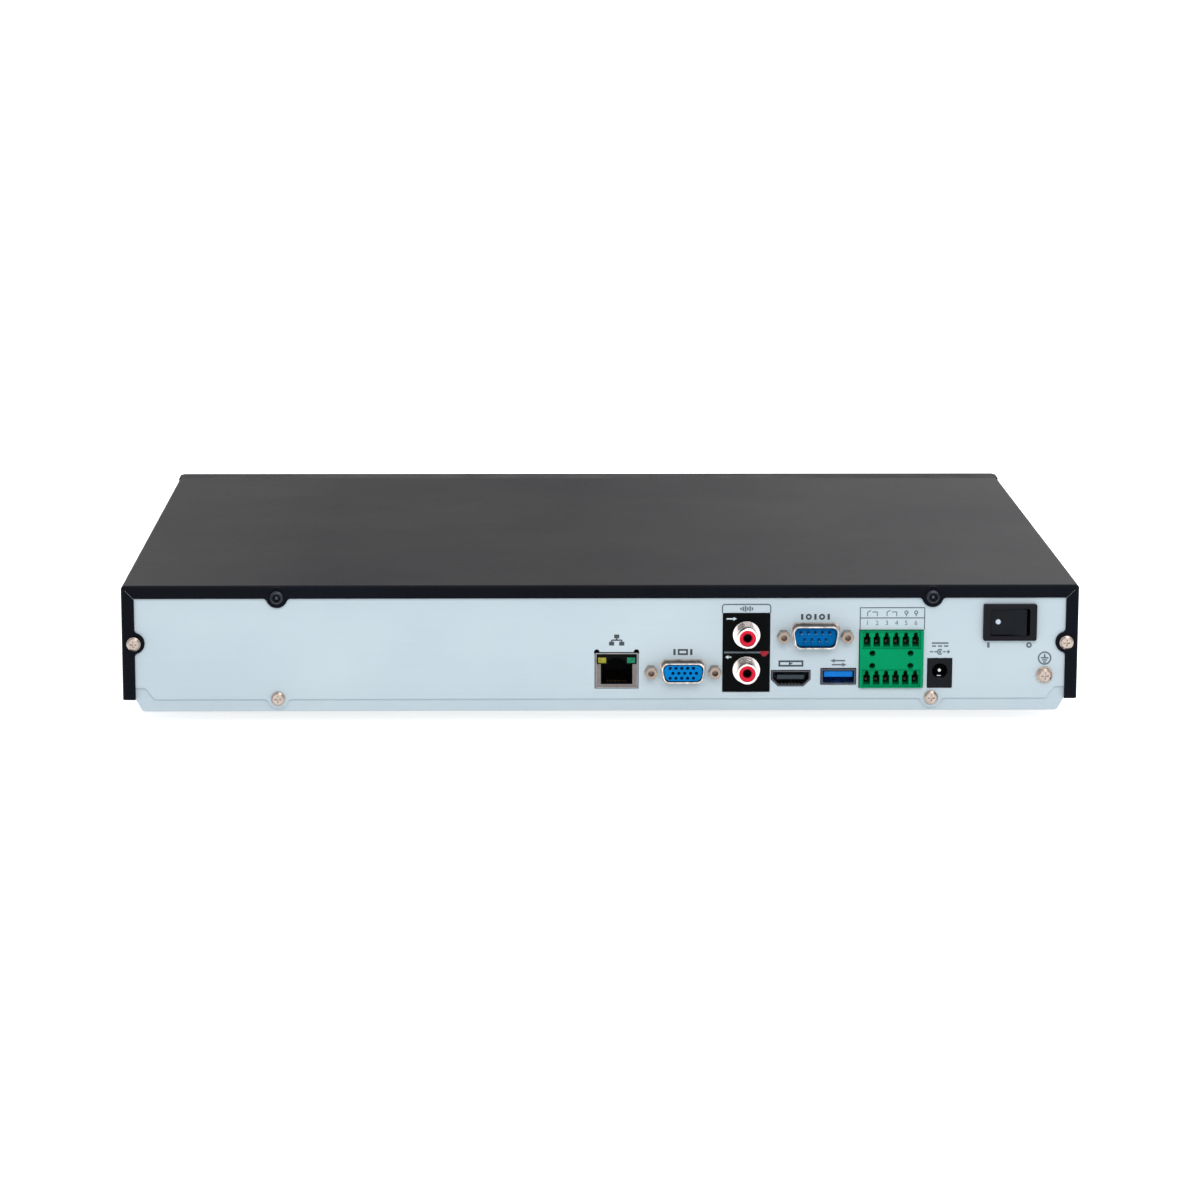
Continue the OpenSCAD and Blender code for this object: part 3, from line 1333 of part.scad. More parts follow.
// Two wires from the switch's blades to a header on the board
module switch_wires() color("#1c1c20") {
    translate([header_at[0], header_at[1], board_z]) linear_extrude(header_h) rounded(9, 7, 0.6);
    from = [switch_x, panel_y + body_l + blade_l, base_z + switch_z];
    to = [header_at[0], header_at[1], board_z + header_h];
    for (i = [0, 1])
        tube(concat([for (p = switch_wire_out[i]) from + p], [for (p = switch_wire_in[i]) to + p]),
            1, 8, [-1, 0, 1]);
}

// ---------------------------------------------------------------- front board

light_r = 1.5;
light_pitch = 12;

// Upright board on the front wall's spacers, with three status lights
module front_board() color(board_green) {
    translate([fboard_x, fboard_y, base_z + fboard_z]) cube([fboard_w, board_t, fboard_h]);
    for (i = [-1:1]) translate([window_x + i * light_pitch, 0, base_z + window_z])
        rod(light_r, fboard_y + board_t / 2, front_y - window_d - 1.5 - fboard_y - board_t / 2);
}

front_plug_w = 12;
front_plug_l = 4.75;
front_plug_h = 6;
front_header_w = 14;
front_header_l = 8;
front_header_h = 7;
header_inset = 4.75;         // from the board's front edge

// Route of the lead: steps from the header, down to the floor, then from the front plug
front_lead_out = [[0, -sunk, 0], [0, 8, 0], [0, 16, -3], [0, 24, -7], [0, 36, -9]];
front_lead_in = [[0, -28, -15], [0, -20, -11], [0, -14, -5], [0, -9, -1], [0, -5, 0], [0, sunk, 0]];

// Lead from the main board through the front wall to the front board
module front_board_cable() color("#8a8f96") {
    from = [cable_slot_x, board_y + board_l - header_inset, board_z + front_header_h / 2];
    to = [cable_slot_x, fboard_y - front_plug_l, base_z + cable_slot_z];
    translate(from - [front_header_w / 2, front_header_l, front_header_h / 2])
        cube([front_header_w, front_header_l, front_header_h]);
    translate(to - [front_plug_w / 2, 0, front_plug_h / 2]) cube([front_plug_w, front_plug_l, front_plug_h]);
    tube(concat([for (p = front_lead_out) from + p], [for (p = front_lead_in) to + p]), 2, 8, [1, 0, 0]);
}

chassis_pan();
rear_panel();
top_cover();
front_bezel();
status_window();
foot_rear_left();
foot_rear_right();
foot_front_left();
foot_front_right();
foot_screws();
cover_side_screws();
cover_top_screws();
rear_panel_screws();
ground_screw();
ground_washer();
bezel_screws();
network_jack_shell();
network_jack_insert();
network_jack_contacts();
network_light_yellow();
network_light_green();
monitor_port_shell();
monitor_port_insert();
serial_port_shell();
serial_port_insert();
serial_port_stand();
serial_port_pins();
jackscrews();
audio_jack_housing();
audio_sleeves();
audio_insulators();
video_port_shell();
video_port_tongue();
data_port_shells();
data_port_tongues();
alarm_terminal_block();
alarm_terminal_pins();
power_jack_body();
power_jack_pin();
switch_housing();
switch_rocker();
switch_terminals();
main_board();
processor_chip();
memory_chips();
heat_sink();
board_capacitors();
clock_battery();
drive_sockets();
board_screws();
drive_casting_rear();
drive_casting_front();
drive_lid_rear();
drive_lid_front();
drive_boards();
drive_screws();
drive_cables();
switch_wires();
front_board();
front_board_cable();
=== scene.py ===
import math

import bmesh
import bpy
from mathutils import Matrix, Vector


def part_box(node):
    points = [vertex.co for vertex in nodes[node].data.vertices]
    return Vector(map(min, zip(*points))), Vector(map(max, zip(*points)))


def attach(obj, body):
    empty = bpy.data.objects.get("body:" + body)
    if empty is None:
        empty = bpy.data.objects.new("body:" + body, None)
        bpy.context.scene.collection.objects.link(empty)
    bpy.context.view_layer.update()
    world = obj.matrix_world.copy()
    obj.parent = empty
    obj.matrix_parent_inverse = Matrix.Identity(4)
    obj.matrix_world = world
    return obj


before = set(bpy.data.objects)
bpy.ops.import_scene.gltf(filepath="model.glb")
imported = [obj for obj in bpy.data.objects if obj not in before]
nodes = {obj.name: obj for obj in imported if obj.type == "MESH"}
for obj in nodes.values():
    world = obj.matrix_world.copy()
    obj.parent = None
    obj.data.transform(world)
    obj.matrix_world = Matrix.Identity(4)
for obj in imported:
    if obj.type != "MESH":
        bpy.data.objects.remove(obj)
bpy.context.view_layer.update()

# ------------------------------------------------------------------ where it is seen from
# The viewer stands behind the recorder, a little above it and about a metre and a half
# away, and looks down at the socketed panel through a long lens.
eye = Vector((-0.0315, -1.57635, 0.3364))
pitch, yaw, roll = math.radians(11.19), math.radians(1.23), math.radians(0.148)
ahead = Vector((math.sin(yaw) * math.cos(pitch), math.cos(yaw) * math.cos(pitch), -math.sin(pitch)))
right = Vector((math.cos(yaw), -math.sin(yaw), 0))
up = right.cross(ahead)
right, up = right * math.cos(roll) + up * math.sin(roll), up * math.cos(roll) - right * math.sin(roll)
lens = bpy.data.cameras.new("viewer")
lens.lens, lens.sensor_width, lens.clip_start, lens.clip_end = 112.97, 36.0, 0.05, 40.0
viewer = bpy.data.objects.new("viewer", lens)
viewer.matrix_world = Matrix((
    (right.x, up.x, -ahead.x, eye.x), (right.y, up.y, -ahead.y, eye.y),
    (right.z, up.z, -ahead.z, eye.z), (0, 0, 0, 1)))
bpy.context.scene.collection.objects.link(viewer)
bpy.context.scene.camera = viewer
bpy.context.scene.view_settings.view_transform = "Standard"


# ------------------------------------------------------------------ studio
# A pale table with no visible edge, one broad soft lamp overhead and another behind the
# viewer. The eye and all reflections see the room and the table white, while the room sheds
# only about half that light on things.
def shade(code):
    """Linear colour of an sRGB hex code."""
    parts = [int(code[i:i + 2], 16) / 255 for i in (1, 3, 5)]
    return tuple(p / 12.92 if p <= 0.04045 else ((p + 0.055) / 1.055) ** 2.4 for p in parts) + (1.0,)


def add(tree, kind, inputs=None, **settings):
    """Adds a node: its settings by name, its inputs by name or number, linked where a socket is given."""
    made = tree.nodes.new(kind)
    for key, value in settings.items():
        setattr(made, key, value)
    for key, value in (inputs or {}).items():
        if isinstance(value, bpy.types.NodeSocket):
            tree.links.new(value, made.inputs[key])
        else:
            made.inputs[key].default_value = value
    return made


def looked_at(tree):
    """Mask that is 1 for the eye and for reflections, 0 for the light that things get from here."""
    rays = add(tree, "ShaderNodeLightPath").outputs
    seen = add(tree, "ShaderNodeMath", {0: rays["Is Camera Ray"], 1: rays["Is Glossy Ray"]},
               operation="MAXIMUM")
    return add(tree, "ShaderNodeMath", {0: seen.outputs[0], 1: rays["Is Transmission Ray"]},
               operation="MAXIMUM").outputs[0]


room = bpy.data.worlds.new("pale_room")
room.use_nodes = True
bpy.context.scene.world = room
tree = room.node_tree
tree.nodes.clear()
plain = add(tree, "ShaderNodeBackground", {"Color": shade("#f6f7f8"), "Strength": 0.52})
white = add(tree, "ShaderNodeBackground", {"Color": (1, 1, 1, 1), "Strength": 1.0})
both = add(tree, "ShaderNodeMixShader", {0: looked_at(tree), 1: plain.outputs[0], 2: white.outputs[0]})
add(tree, "ShaderNodeOutputWorld", {"Surface": both.outputs[0]})

for name, place, aim, wide, deep, power in (
        ("overhead_softbox", (0.35, 0.4, 1.6), (0, 0, 0), 2.2, 1.6, 25.0),
        ("viewer_softbox", (0.1, -2.3, 1.4), (0, 0, 0.03), 2.0, 1.2, 28.0)):
    lamp = bpy.data.lights.new(name, "AREA")
    lamp.shape, lamp.size, lamp.size_y, lamp.energy = "RECTANGLE", wide, deep, power
    box = bpy.data.objects.new(name, lamp)
    box.location = place
    box.rotation_euler = (Vector(aim) - Vector(place)).to_track_quat("-Z", "Y").to_euler()
    bpy.context.scene.collection.objects.link(box)

ground = bpy.data.meshes.new("table")
ground.from_pydata([(-9, -9, 0), (9, -9, 0), (9, 9, 0), (-9, 9, 0)], [], [(0, 1, 2, 3)])
table = bpy.data.objects.new("table", ground)
bpy.context.scene.collection.objects.link(table)
cloth = bpy.data.materials.new("matt_white_table")
cloth.use_nodes = True
tree = cloth.node_tree
tree.nodes.clear()
matt = add(tree, "ShaderNodeBsdfDiffuse", {"Color": shade("#eef0f2")})
lit = add(tree, "ShaderNodeEmission", {"Color": (1, 1, 1, 1), "Strength": 0.8})
glow = add(tree, "ShaderNodeAddShader", {0: matt.outputs[0], 1: lit.outputs[0]})
both = add(tree, "ShaderNodeMixShader", {0: looked_at(tree), 1: matt.outputs[0], 2: glow.outputs[0]})
add(tree, "ShaderNodeOutputMaterial", {"Surface": both.outputs[0]})
ground.materials.append(cloth)


# ------------------------------------------------------------------ pan and rear panel
# Cold-rolled steel sheet with a smooth, pale, slightly blue satin coat, baked before the
# sheet was folded. The rolled grain shows as faint long streaks, the cut edges as bare steel.
def start(name, code, roughness, metallic=0.0, level=0.5):
    """New material of one colour. Returns it, its tree, its shader and the piece's own coordinates."""
    material = bpy.data.materials.new(name)
    material.use_nodes = True
    made = material.node_tree
    shader = made.nodes["Principled BSDF"]
    shader.inputs["Base Color"].default_value = shade(code)
    shader.inputs["Roughness"].default_value = roughness
    shader.inputs["Metallic"].default_value = metallic
    shader.inputs["Specular IOR Level"].default_value = level
    return material, made, shader, add(made, "ShaderNodeTexCoord").outputs["Object"]


def relief(tree, shader, height, depth, rounding):
    """Surface relief of the given depth over edges that look broken by the given radius, both in mm."""
    edge = add(tree, "ShaderNodeBevel", {"Radius": rounding / 1000}, samples=4)
    bump = add(tree, "ShaderNodeBump", {"Strength": 1.0, "Distance": depth / 1000, "Height": height,
                                        "Normal": edge.outputs[0]})
    tree.links.new(bump.outputs[0], shader.inputs["Normal"])
    return edge.outputs[0]


def worn(tree, rounded, low, high):
    """Mask that is 1 on the edges, where hands and tools have rubbed, and 0 on the flat."""
    true = add(tree, "ShaderNodeNewGeometry").outputs["True Normal"]
    along = add(tree, "ShaderNodeVectorMath", {0: rounded, 1: true}, operation="DOT_PRODUCT").outputs["Value"]
    return add(tree, "ShaderNodeMapRange", {"Value": along, "From Min": high, "From Max": low,
                                            "To Min": 0.0, "To Max": 1.0}, clamp=True).outputs[0]


def dress(material, *names):
    """Puts a material on CAD nodes."""
    for name in names:
        for slot in nodes[name].material_slots:
            slot.material = material


def coated_sheet(name, code, streak_code, roughness):
    """Satin coat on rolled sheet: cloudy colour, long streaks 0.8 mm apart, orange peel 2 mm wide."""
    material, tree, shader, place = start(name, code, roughness, level=0.3)
    cloud = add(tree, "ShaderNodeTexNoise", {"Vector": place, "Scale": 22.0, "Detail": 3.0})
    long_way = add(tree, "ShaderNodeMapping", {"Vector": place, "Scale": (12.0, 12.0, 1250.0)})
    streak = add(tree, "ShaderNodeTexNoise", {"Vector": long_way.outputs[0], "Scale": 1.0, "Detail": 2.0})
    both = add(tree, "ShaderNodeMix", {0: 0.22, 2: cloud.outputs[0], 3: streak.outputs[0]})
    tone = add(tree, "ShaderNodeMapRange", {"Value": both.outputs[0], "From Min": 0.3, "From Max": 0.7})
    peel = add(tree, "ShaderNodeTexNoise", {"Vector": place, "Scale": 480.0, "Detail": 1.0})
    rounded = relief(tree, shader, peel.outputs[0], 0.012, 0.25)
    coat = add(tree, "ShaderNodeMix", {0: tone.outputs[0], 6: shade(streak_code), 7: shade(code)},
               data_type="RGBA")
    rub = worn(tree, rounded, 0.86, 0.995)
    bare = add(tree, "ShaderNodeMix", {0: rub, 6: coat.outputs[2], 7: shade("#b6c1c7")}, data_type="RGBA")
    tree.links.new(bare.outputs[2], shader.inputs["Base Color"])
    gloss = add(tree, "ShaderNodeMapRange", {"Value": cloud.outputs[0], "To Min": roughness - 0.06,
                                             "To Max": roughness + 0.08})
    tree.links.new(gloss.outputs[0], shader.inputs["Roughness"])
    return material


dress(coated_sheet("satin_coated_steel", "#c8d6dd", "#bfced7", 0.46), "chassis_pan", "rear_panel")


# ------------------------------------------------------------------ top cover
# Folded steel cover in black powder coat. The powder leaves a fine pebbled skin that
# scatters the light of the room along the top and is rubbed paler on the folds.
def powder_coat(name, code, rubbed_code):
    """Pebbled powder 0.9 mm in grain, cloudy in colour, with rubbed folds and a painted highlight towards the
    ends of the top.
    """
    material, tree, shader, place = start(name, code, 0.6, level=0.05)
    shader.inputs["Sheen Weight"].default_value = 0.17
    shader.inputs["Sheen Roughness"].default_value = 0.3
    shader.inputs["Sheen Tint"].default_value = shade("#fff6ee")
    pebble = add(tree, "ShaderNodeTexVoronoi", {"Vector": place, "Scale": 1100.0}, feature="F1")
    swell = add(tree, "ShaderNodeTexNoise", {"Vector": place, "Scale": 14.0, "Detail": 4.0, "Roughness": 0.6})
    rounded = relief(tree, shader, pebble.outputs["Distance"], 0.05, 0.35)
    tone = add(tree, "ShaderNodeMapRange", {"Value": swell.outputs[0], "From Min": 0.3, "From Max": 0.7})
    skin = add(tree, "ShaderNodeMix", {0: tone.outputs[0], 6: shade(code), 7: shade("#10131b")},
               data_type="RGBA")
    # Painted highlight: the top alone is painted paler towards its ends, patchily and more so on the right,
    # standing in for the lamps' soft reflection there
    least_lit_x, unlit_half, full_lit_half, painted_sheen_code = -0.06, 0.05, 0.27, "#3a3a3d"
    across = add(tree, "ShaderNodeSeparateXYZ", {0: place}).outputs["X"]
    away = add(tree, "ShaderNodeMath", {0: across, 1: least_lit_x}, operation="SUBTRACT")
    away = add(tree, "ShaderNodeMath", {0: away.outputs[0]}, operation="ABSOLUTE")
    ends = add(tree, "ShaderNodeMapRange", {"Value": away.outputs[0], "From Min": unlit_half,
                                            "From Max": full_lit_half})
    normal = add(tree, "ShaderNodeNewGeometry").outputs["True Normal"]
    upward = add(tree, "ShaderNodeSeparateXYZ", {0: normal}).outputs["Z"]
    lying = add(tree, "ShaderNodeMath", {0: upward, 1: 0.9}, operation="GREATER_THAN")
    patchy = add(tree, "ShaderNodeMapRange", {"Value": swell.outputs[0], "From Min": 0.2, "From Max": 0.8,
                                              "To Min": 0.94, "To Max": 1.03})
    painted_sheen = add(tree, "ShaderNodeMath", {0: ends.outputs[0], 1: patchy.outputs[0]}, operation="MULTIPLY")
    painted_sheen = add(tree, "ShaderNodeMath", {0: painted_sheen.outputs[0], 1: lying.outputs[0]}, operation="MULTIPLY")
    dull = add(tree, "ShaderNodeMix", {0: painted_sheen.outputs[0], 6: skin.outputs[2], 7: shade(painted_sheen_code)},
               data_type="RGBA")
    rub = worn(tree, rounded, 0.8, 0.99)
    edge = add(tree, "ShaderNodeMix", {0: rub, 6: dull.outputs[2], 7: shade(rubbed_code)}, data_type="RGBA")
    tree.links.new(edge.outputs[2], shader.inputs["Base Color"])
    gloss = add(tree, "ShaderNodeMapRange", {"Value": swell.outputs[0], "From Min": 0.3, "From Max": 0.7,
                                             "To Min": 0.6, "To Max": 0.72})
    tree.links.new(gloss.outputs[0], shader.inputs["Roughness"])
    return material


dress(powder_coat("black_powder_coat", "#080a11", "#1b1e25"), "top_cover")


# ------------------------------------------------------------------ front moulding and window
# Injection-moulded ABS with a fine spark-eroded skin, and a polished smoked acrylic strip
# pushed into its slot from the front.
def moulding(name, code, roughness=0.5, grain=0.5, depth=0.02, level=0.12):
    """Moulded plastic with paler, rubbed edges. Its grain, in mm, is coarser than real, so it shows."""
    material, tree, shader, place = start(name, code, roughness, level=level)
    skin = add(tree, "ShaderNodeTexNoise", {"Vector": place, "Scale": 1000.0 / grain, "Detail": 2.0})
    cloud = add(tree, "ShaderNodeTexNoise", {"Vector": place, "Scale": 60.0, "Detail": 2.0})
    rounded = relief(tree, shader, skin.outputs[0], depth, 0.15)
    rub = worn(tree, rounded, 0.75, 0.99)
    shift = add(tree, "ShaderNodeMapRange", {"Value": cloud.outputs[0], "From Min": 0.3, "From Max": 0.7,
                                             "To Min": 0.92, "To Max": 1.06})
    lift = add(tree, "ShaderNodeMath", {0: rub, 1: 0.35, 2: shift.outputs[0]}, operation="MULTIPLY_ADD")
    tint = add(tree, "ShaderNodeVectorMath", {0: shade(code)[:3], "Scale": lift.outputs[0]},
               operation="SCALE")
    tree.links.new(tint.outputs[0], shader.inputs["Base Color"])
    gloss = add(tree, "ShaderNodeMapRange", {"Value": cloud.outputs[0], "From Min": 0.3, "From Max": 0.7,
                                             "To Min": roughness - 0.05, "To Max": roughness + 0.05})
    tree.links.new(gloss.outputs[0], shader.inputs["Roughness"])
    return material


dress(moulding("textured_black_abs", "#101114", 0.5, grain=0.8, depth=0.04, level=0.07), "front_bezel")
dress(moulding("smoked_acrylic", "#050608", 0.06, grain=6.0, depth=0.002, level=0.25), "status_window")

# ------------------------------------------------------------------ feet
# Four moulded rubber feet, each held by a screw up its middle. The rubber is matt, and its
# lowest few millimetres are grey with dust from the shelf.
rubber_code, dust_code, dust_top = "#17181a", "#5a5a58", 0.004
rubber, tree, shader, place = start("moulded_rubber", rubber_code, 0.82, level=0.25)
dust = add(tree, "ShaderNodeTexNoise", {"Vector": place, "Scale": 260.0, "Detail": 4.0})
high = add(tree, "ShaderNodeSeparateXYZ", {0: place}).outputs["Z"]
low = add(tree, "ShaderNodeMapRange", {"Value": high, "From Min": dust_top, "From Max": 0.0, "To Max": 0.5})
mask = add(tree, "ShaderNodeMath", {0: dust.outputs[0], 1: low.outputs[0]}, operation="MULTIPLY")
tone = add(tree, "ShaderNodeMix", {0: mask.outputs[0], 6: shade(rubber_code), 7: shade(dust_code)},
           data_type="RGBA")
tree.links.new(tone.outputs[2], shader.inputs["Base Color"])
relief(tree, shader, dust.outputs[0], 0.03, 0.3)
dress(rubber, "foot_rear_left", "foot_rear_right", "foot_front_left", "foot_front_right")


# ------------------------------------------------------------------ screws
# Cold-headed steel screws: bright warm nickel plate on most, black oxide on the two along
# the top. Handling has left them with a cloudy polish and fine scratches.
def plated(name, code, roughness, spread=0.12, scratch=900.0):
    """Plated metal of uneven polish. Its scratches run every way and are coarser than real, so they show."""
    material, tree, shader, place = start(name, code, roughness, metallic=1.0)
    haze = add(tree, "ShaderNodeTexNoise", {"Vector": place, "Scale": 350.0, "Detail": 3.0})
    line = add(tree, "ShaderNodeTexNoise", {"Vector": place, "Scale": scratch, "Detail": 4.0,
                                            "Distortion": 1.5})
    smoothest, roughest = max(0.05, roughness - spread), roughness + spread
    gloss = add(tree, "ShaderNodeMapRange", {"Value": haze.outputs[0], "From Min": 0.3, "From Max": 0.7,
                                             "To Min": smoothest, "To Max": roughest})
    tree.links.new(gloss.outputs[0], shader.inputs["Roughness"])
    dim = add(tree, "ShaderNodeMapRange", {"Value": haze.outputs[0], "From Min": 0.25, "From Max": 0.75,
                                           "To Min": 0.72, "To Max": 1.08})
    tint = add(tree, "ShaderNodeVectorMath", {0: shade(code)[:3], "Scale": dim.outputs[0]}, operation="SCALE")
    tree.links.new(tint.outputs[0], shader.inputs["Base Color"])
    relief(tree, shader, line.outputs[0], 0.008, 0.12)
    return material


nickel = plated("warm_nickel_plate", "#b0a299", 0.26, spread=0.16)
dress(nickel, "foot_screws", "cover_side_screws", "rear_panel_screws", "bezel_screws", "ground_screw",
      "ground_washer", "board_screws", "drive_screws")
dress(plated("dull_nickel_plate", "#94867c", 0.3, spread=0.15), "jackscrews")

# Black oxide heads with a painted grey highlight round the rim, broken up by fine nicks, and a painted glint
# in the very middle.
# The first pair is where the rim's highlight begins and ends, the second the glint's, as shares of the head's
# radius.
black_code, rim_code, core_code = "#050507", "#4b505a", "#5f646c"
rim_highlight_span, glint_span = (0.55, 0.8), (0.12, 0.3)
oxide, tree, shader, place = start("black_oxide", "#15161a", 0.4, metallic=0.5, level=0.1)
low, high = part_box("cover_top_screws")
reach = (high.z - low.z) / 2
flat = add(tree, "ShaderNodeVectorMath", {0: place, 1: (1.0, 0.0, 1.0)}, operation="MULTIPLY").outputs[0]
near = []
for x in (low.x + reach, high.x - reach):
    axis = (x, 0.0, low.z + reach)
    near.append(add(tree, "ShaderNodeVectorMath", {0: flat, 1: axis}, operation="DISTANCE").outputs["Value"])
out = add(tree, "ShaderNodeMath", {0: near[0], 1: near[1]}, operation="MINIMUM").outputs[0]
rim = add(tree, "ShaderNodeMapRange", {"Value": out, "From Min": reach * rim_highlight_span[0],
                                       "From Max": reach * rim_highlight_span[1]})
core = add(tree, "ShaderNodeMapRange", {"Value": out, "From Min": reach * glint_span[0],
                                        "From Max": reach * glint_span[1]})
nick = add(tree, "ShaderNodeTexNoise", {"Vector": place, "Scale": 900.0, "Detail": 3.0})
grey = add(tree, "ShaderNodeMath", {0: rim.outputs[0], 1: nick.outputs[0]}, operation="MULTIPLY")
tone = add(tree, "ShaderNodeMix", {0: grey.outputs[0], 6: shade(black_code), 7: shade(rim_code)},
           data_type="RGBA")
glint = add(tree, "ShaderNodeMix", {0: core.outputs[0], 6: shade(core_code), 7: tone.outputs[2]},
            data_type="RGBA")
tree.links.new(glint.outputs[2], shader.inputs["Base Color"])
relief(tree, shader, nick.outputs[0], 0.01, 0.15)
dress(oxide, "cover_top_screws")

# ------------------------------------------------------------------ network jack
# Folded tin-plated shield round a black nylon insert, eight gold-flashed wires, and two
# tinted light pipes, yellow on the left and green on the right.
tin = plated("tin_plate", "#8c8a89", 0.36, scratch=500.0)
gold = plated("gold_flash", "#7d6435", 0.4)
black_nylon = moulding("black_glass_filled_nylon", "#08090a", 0.6, grain=0.4, level=0.05)
dress(tin, "network_jack_shell")
dress(black_nylon, "network_jack_insert")
dress(plated("shaded_gold_flash", "#4a3a1e", 0.45), "network_jack_contacts")

# The shield's edges are folded in round the mouth and leave a window for the two lights
low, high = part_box("network_jack_shell")
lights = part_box("network_light_green")[0].z - low.z
lip_t, clear, sill, cheek = 0.0003, 0.0004, 0.0015, 0.0062
middle_x, inside = (low.x + high.x) / 2, (high.x - low.x) / 2 - clear
mesh = bmesh.new()
for x0, z0, x1, z1 in ((-inside, clear, inside, sill), (-inside, sill, -cheek, lights - clear),
                       (cheek, sill, inside, lights - clear)):
    made = bmesh.ops.create_cube(mesh, size=1.0)["verts"]
    centre = (middle_x + (x0 + x1) / 2, low.y + clear, low.z + (z0 + z1) / 2)
    bmesh.ops.scale(mesh, vec=(x1 - x0, lip_t, z1 - z0), verts=made)
    bmesh.ops.translate(mesh, vec=centre, verts=made)
lips = bpy.data.meshes.new("network_jack_lips")
mesh.to_mesh(lips)
mesh.free()
lips.materials.append(plated("shaded_tin_plate", "#6e6866", 0.34, scratch=500.0))
piece = bpy.data.objects.new("network_jack_lips", lips)
bpy.context.scene.collection.objects.link(piece)
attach(piece, "recorder")


def light_pipe(name, code, core_code):
    """Tinted plastic under a thin gloss, mottled by the light that it gathers inside."""
    material, tree, shader, place = start(name, code, 0.3, level=0.15)
    mottle = add(tree, "ShaderNodeTexNoise", {"Vector": place, "Scale": 700.0, "Detail": 1.0})
    body = add(tree, "ShaderNodeMix", {0: mottle.outputs[0], 6: shade(code), 7: shade(core_code)},
               data_type="RGBA")
    tree.links.new(body.outputs[2], shader.inputs["Base Color"])
    shader.inputs["Subsurface Weight"].default_value = 0.25
    shader.inputs["Subsurface Scale"].default_value = 0.001
    shader.inputs["Coat Weight"].default_value = 0.1
    relief(tree, shader, mottle.outputs[0], 0.01, 0.3)
    return material


dress(light_pipe("yellow_light_pipe", "#6d691c", "#bab335"), "network_light_yellow")
dress(light_pipe("green_light_pipe", "#045a41", "#0a9a6c"), "network_light_green")

# ------------------------------------------------------------------ monitor and serial ports
# Drawn, nickel-plated steel shells round moulded blue inserts. Painted shade turns the drawn walls a dull
# brown, while the trimmed rims stay bright. The serial pins stand inside their open shell.
drawn, tree, shader, place = start("drawn_nickel", "#c9bdb4", 0.3, metallic=1.0)
normal = add(tree, "ShaderNodeNewGeometry").outputs["True Normal"]
wall = add(tree, "ShaderNodeSeparateXYZ", {0: normal}).outputs["Y"]
facing = add(tree, "ShaderNodeMath", {0: wall}, operation="ABSOLUTE")
haze = add(tree, "ShaderNodeTexNoise", {"Vector": place, "Scale": 500.0, "Detail": 3.0})
# Painted shade: faces that look neither forward nor back, the drawn walls, are painted darker than the rims
bright = add(tree, "ShaderNodeMapRange", {"Value": facing.outputs[0], "From Min": 0.4, "From Max": 0.9,
                                          "To Min": 0.3, "To Max": 0.95})
dim = add(tree, "ShaderNodeMath", {0: bright.outputs[0], 1: haze.outputs[0], 2: -0.04},
          operation="MULTIPLY_ADD")
tint = add(tree, "ShaderNodeVectorMath", {0: (1.1, 1.0, 0.93), "Scale": dim.outputs[0]}, operation="SCALE")
tree.links.new(tint.outputs[0], shader.inputs["Base Color"])
relief(tree, shader, haze.outputs[0], 0.006, 0.15)
dress(drawn, "monitor_port_shell", "serial_port_shell")
dress(moulding("port_blue_pbt", "#007dc8", 0.5, grain=0.5, level=0.05), "monitor_port_insert")
dress(moulding("deep_blue_pbt", "#007cca", 0.5, grain=0.5, level=0.05), "serial_port_insert")
# The serial pins are painted a dark blue-grey: painted shade for their depth in the shell and a painted
# reflection of the blue insert
dress(plated("shaded_blue_tinted_pins", "#4d7ea6", 0.35), "serial_port_pins")
dress(black_nylon, "serial_port_stand")

# ------------------------------------------------------------------ audio sockets
# Turned and nickel-plated barrels with red insulators, in a glossy black ABS housing. The
# insulators are red at their mouths and black with shade half a millimetre further in.
barrel = plated("bright_nickel_plate", "#e9e2df", 0.16, spread=0.08, scratch=250.0)
tree = barrel.node_tree
shader = tree.nodes["Principled BSDF"]
normal = add(tree, "ShaderNodeNewGeometry").outputs["True Normal"]
above = add(tree, "ShaderNodeSeparateXYZ", {0: normal}).outputs["Z"]
place = add(tree, "ShaderNodeTexCoord").outputs["Object"]
# Broken dark patches along the upper sides stand for the dark housing mirrored there
patch_code = "#3b3634"
patch = add(tree, "ShaderNodeTexNoise", {"Vector": place, "Scale": 330.0, "Detail": 1.0})
dark = add(tree, "ShaderNodeMapRange", {"Value": patch.outputs[0], "From Min": 0.43, "From Max": 0.53})
over = add(tree, "ShaderNodeMapRange", {"Value": above, "From Min": 0.3, "From Max": 0.6})
mask = add(tree, "ShaderNodeMath", {0: dark.outputs[0], 1: over.outputs[0]}, operation="MULTIPLY")
tint = shader.inputs["Base Color"].links[0].from_socket
tone = add(tree, "ShaderNodeMix", {0: mask.outputs[0], 6: tint, 7: shade(patch_code)}, data_type="RGBA")
tree.links.new(tone.outputs[2], shader.inputs["Base Color"])
dress(barrel, "audio_sleeves")
dress(moulding("gloss_black_abs", "#030405", 0.3, grain=3.0, depth=0.006, level=0.035), "audio_jack_housing")

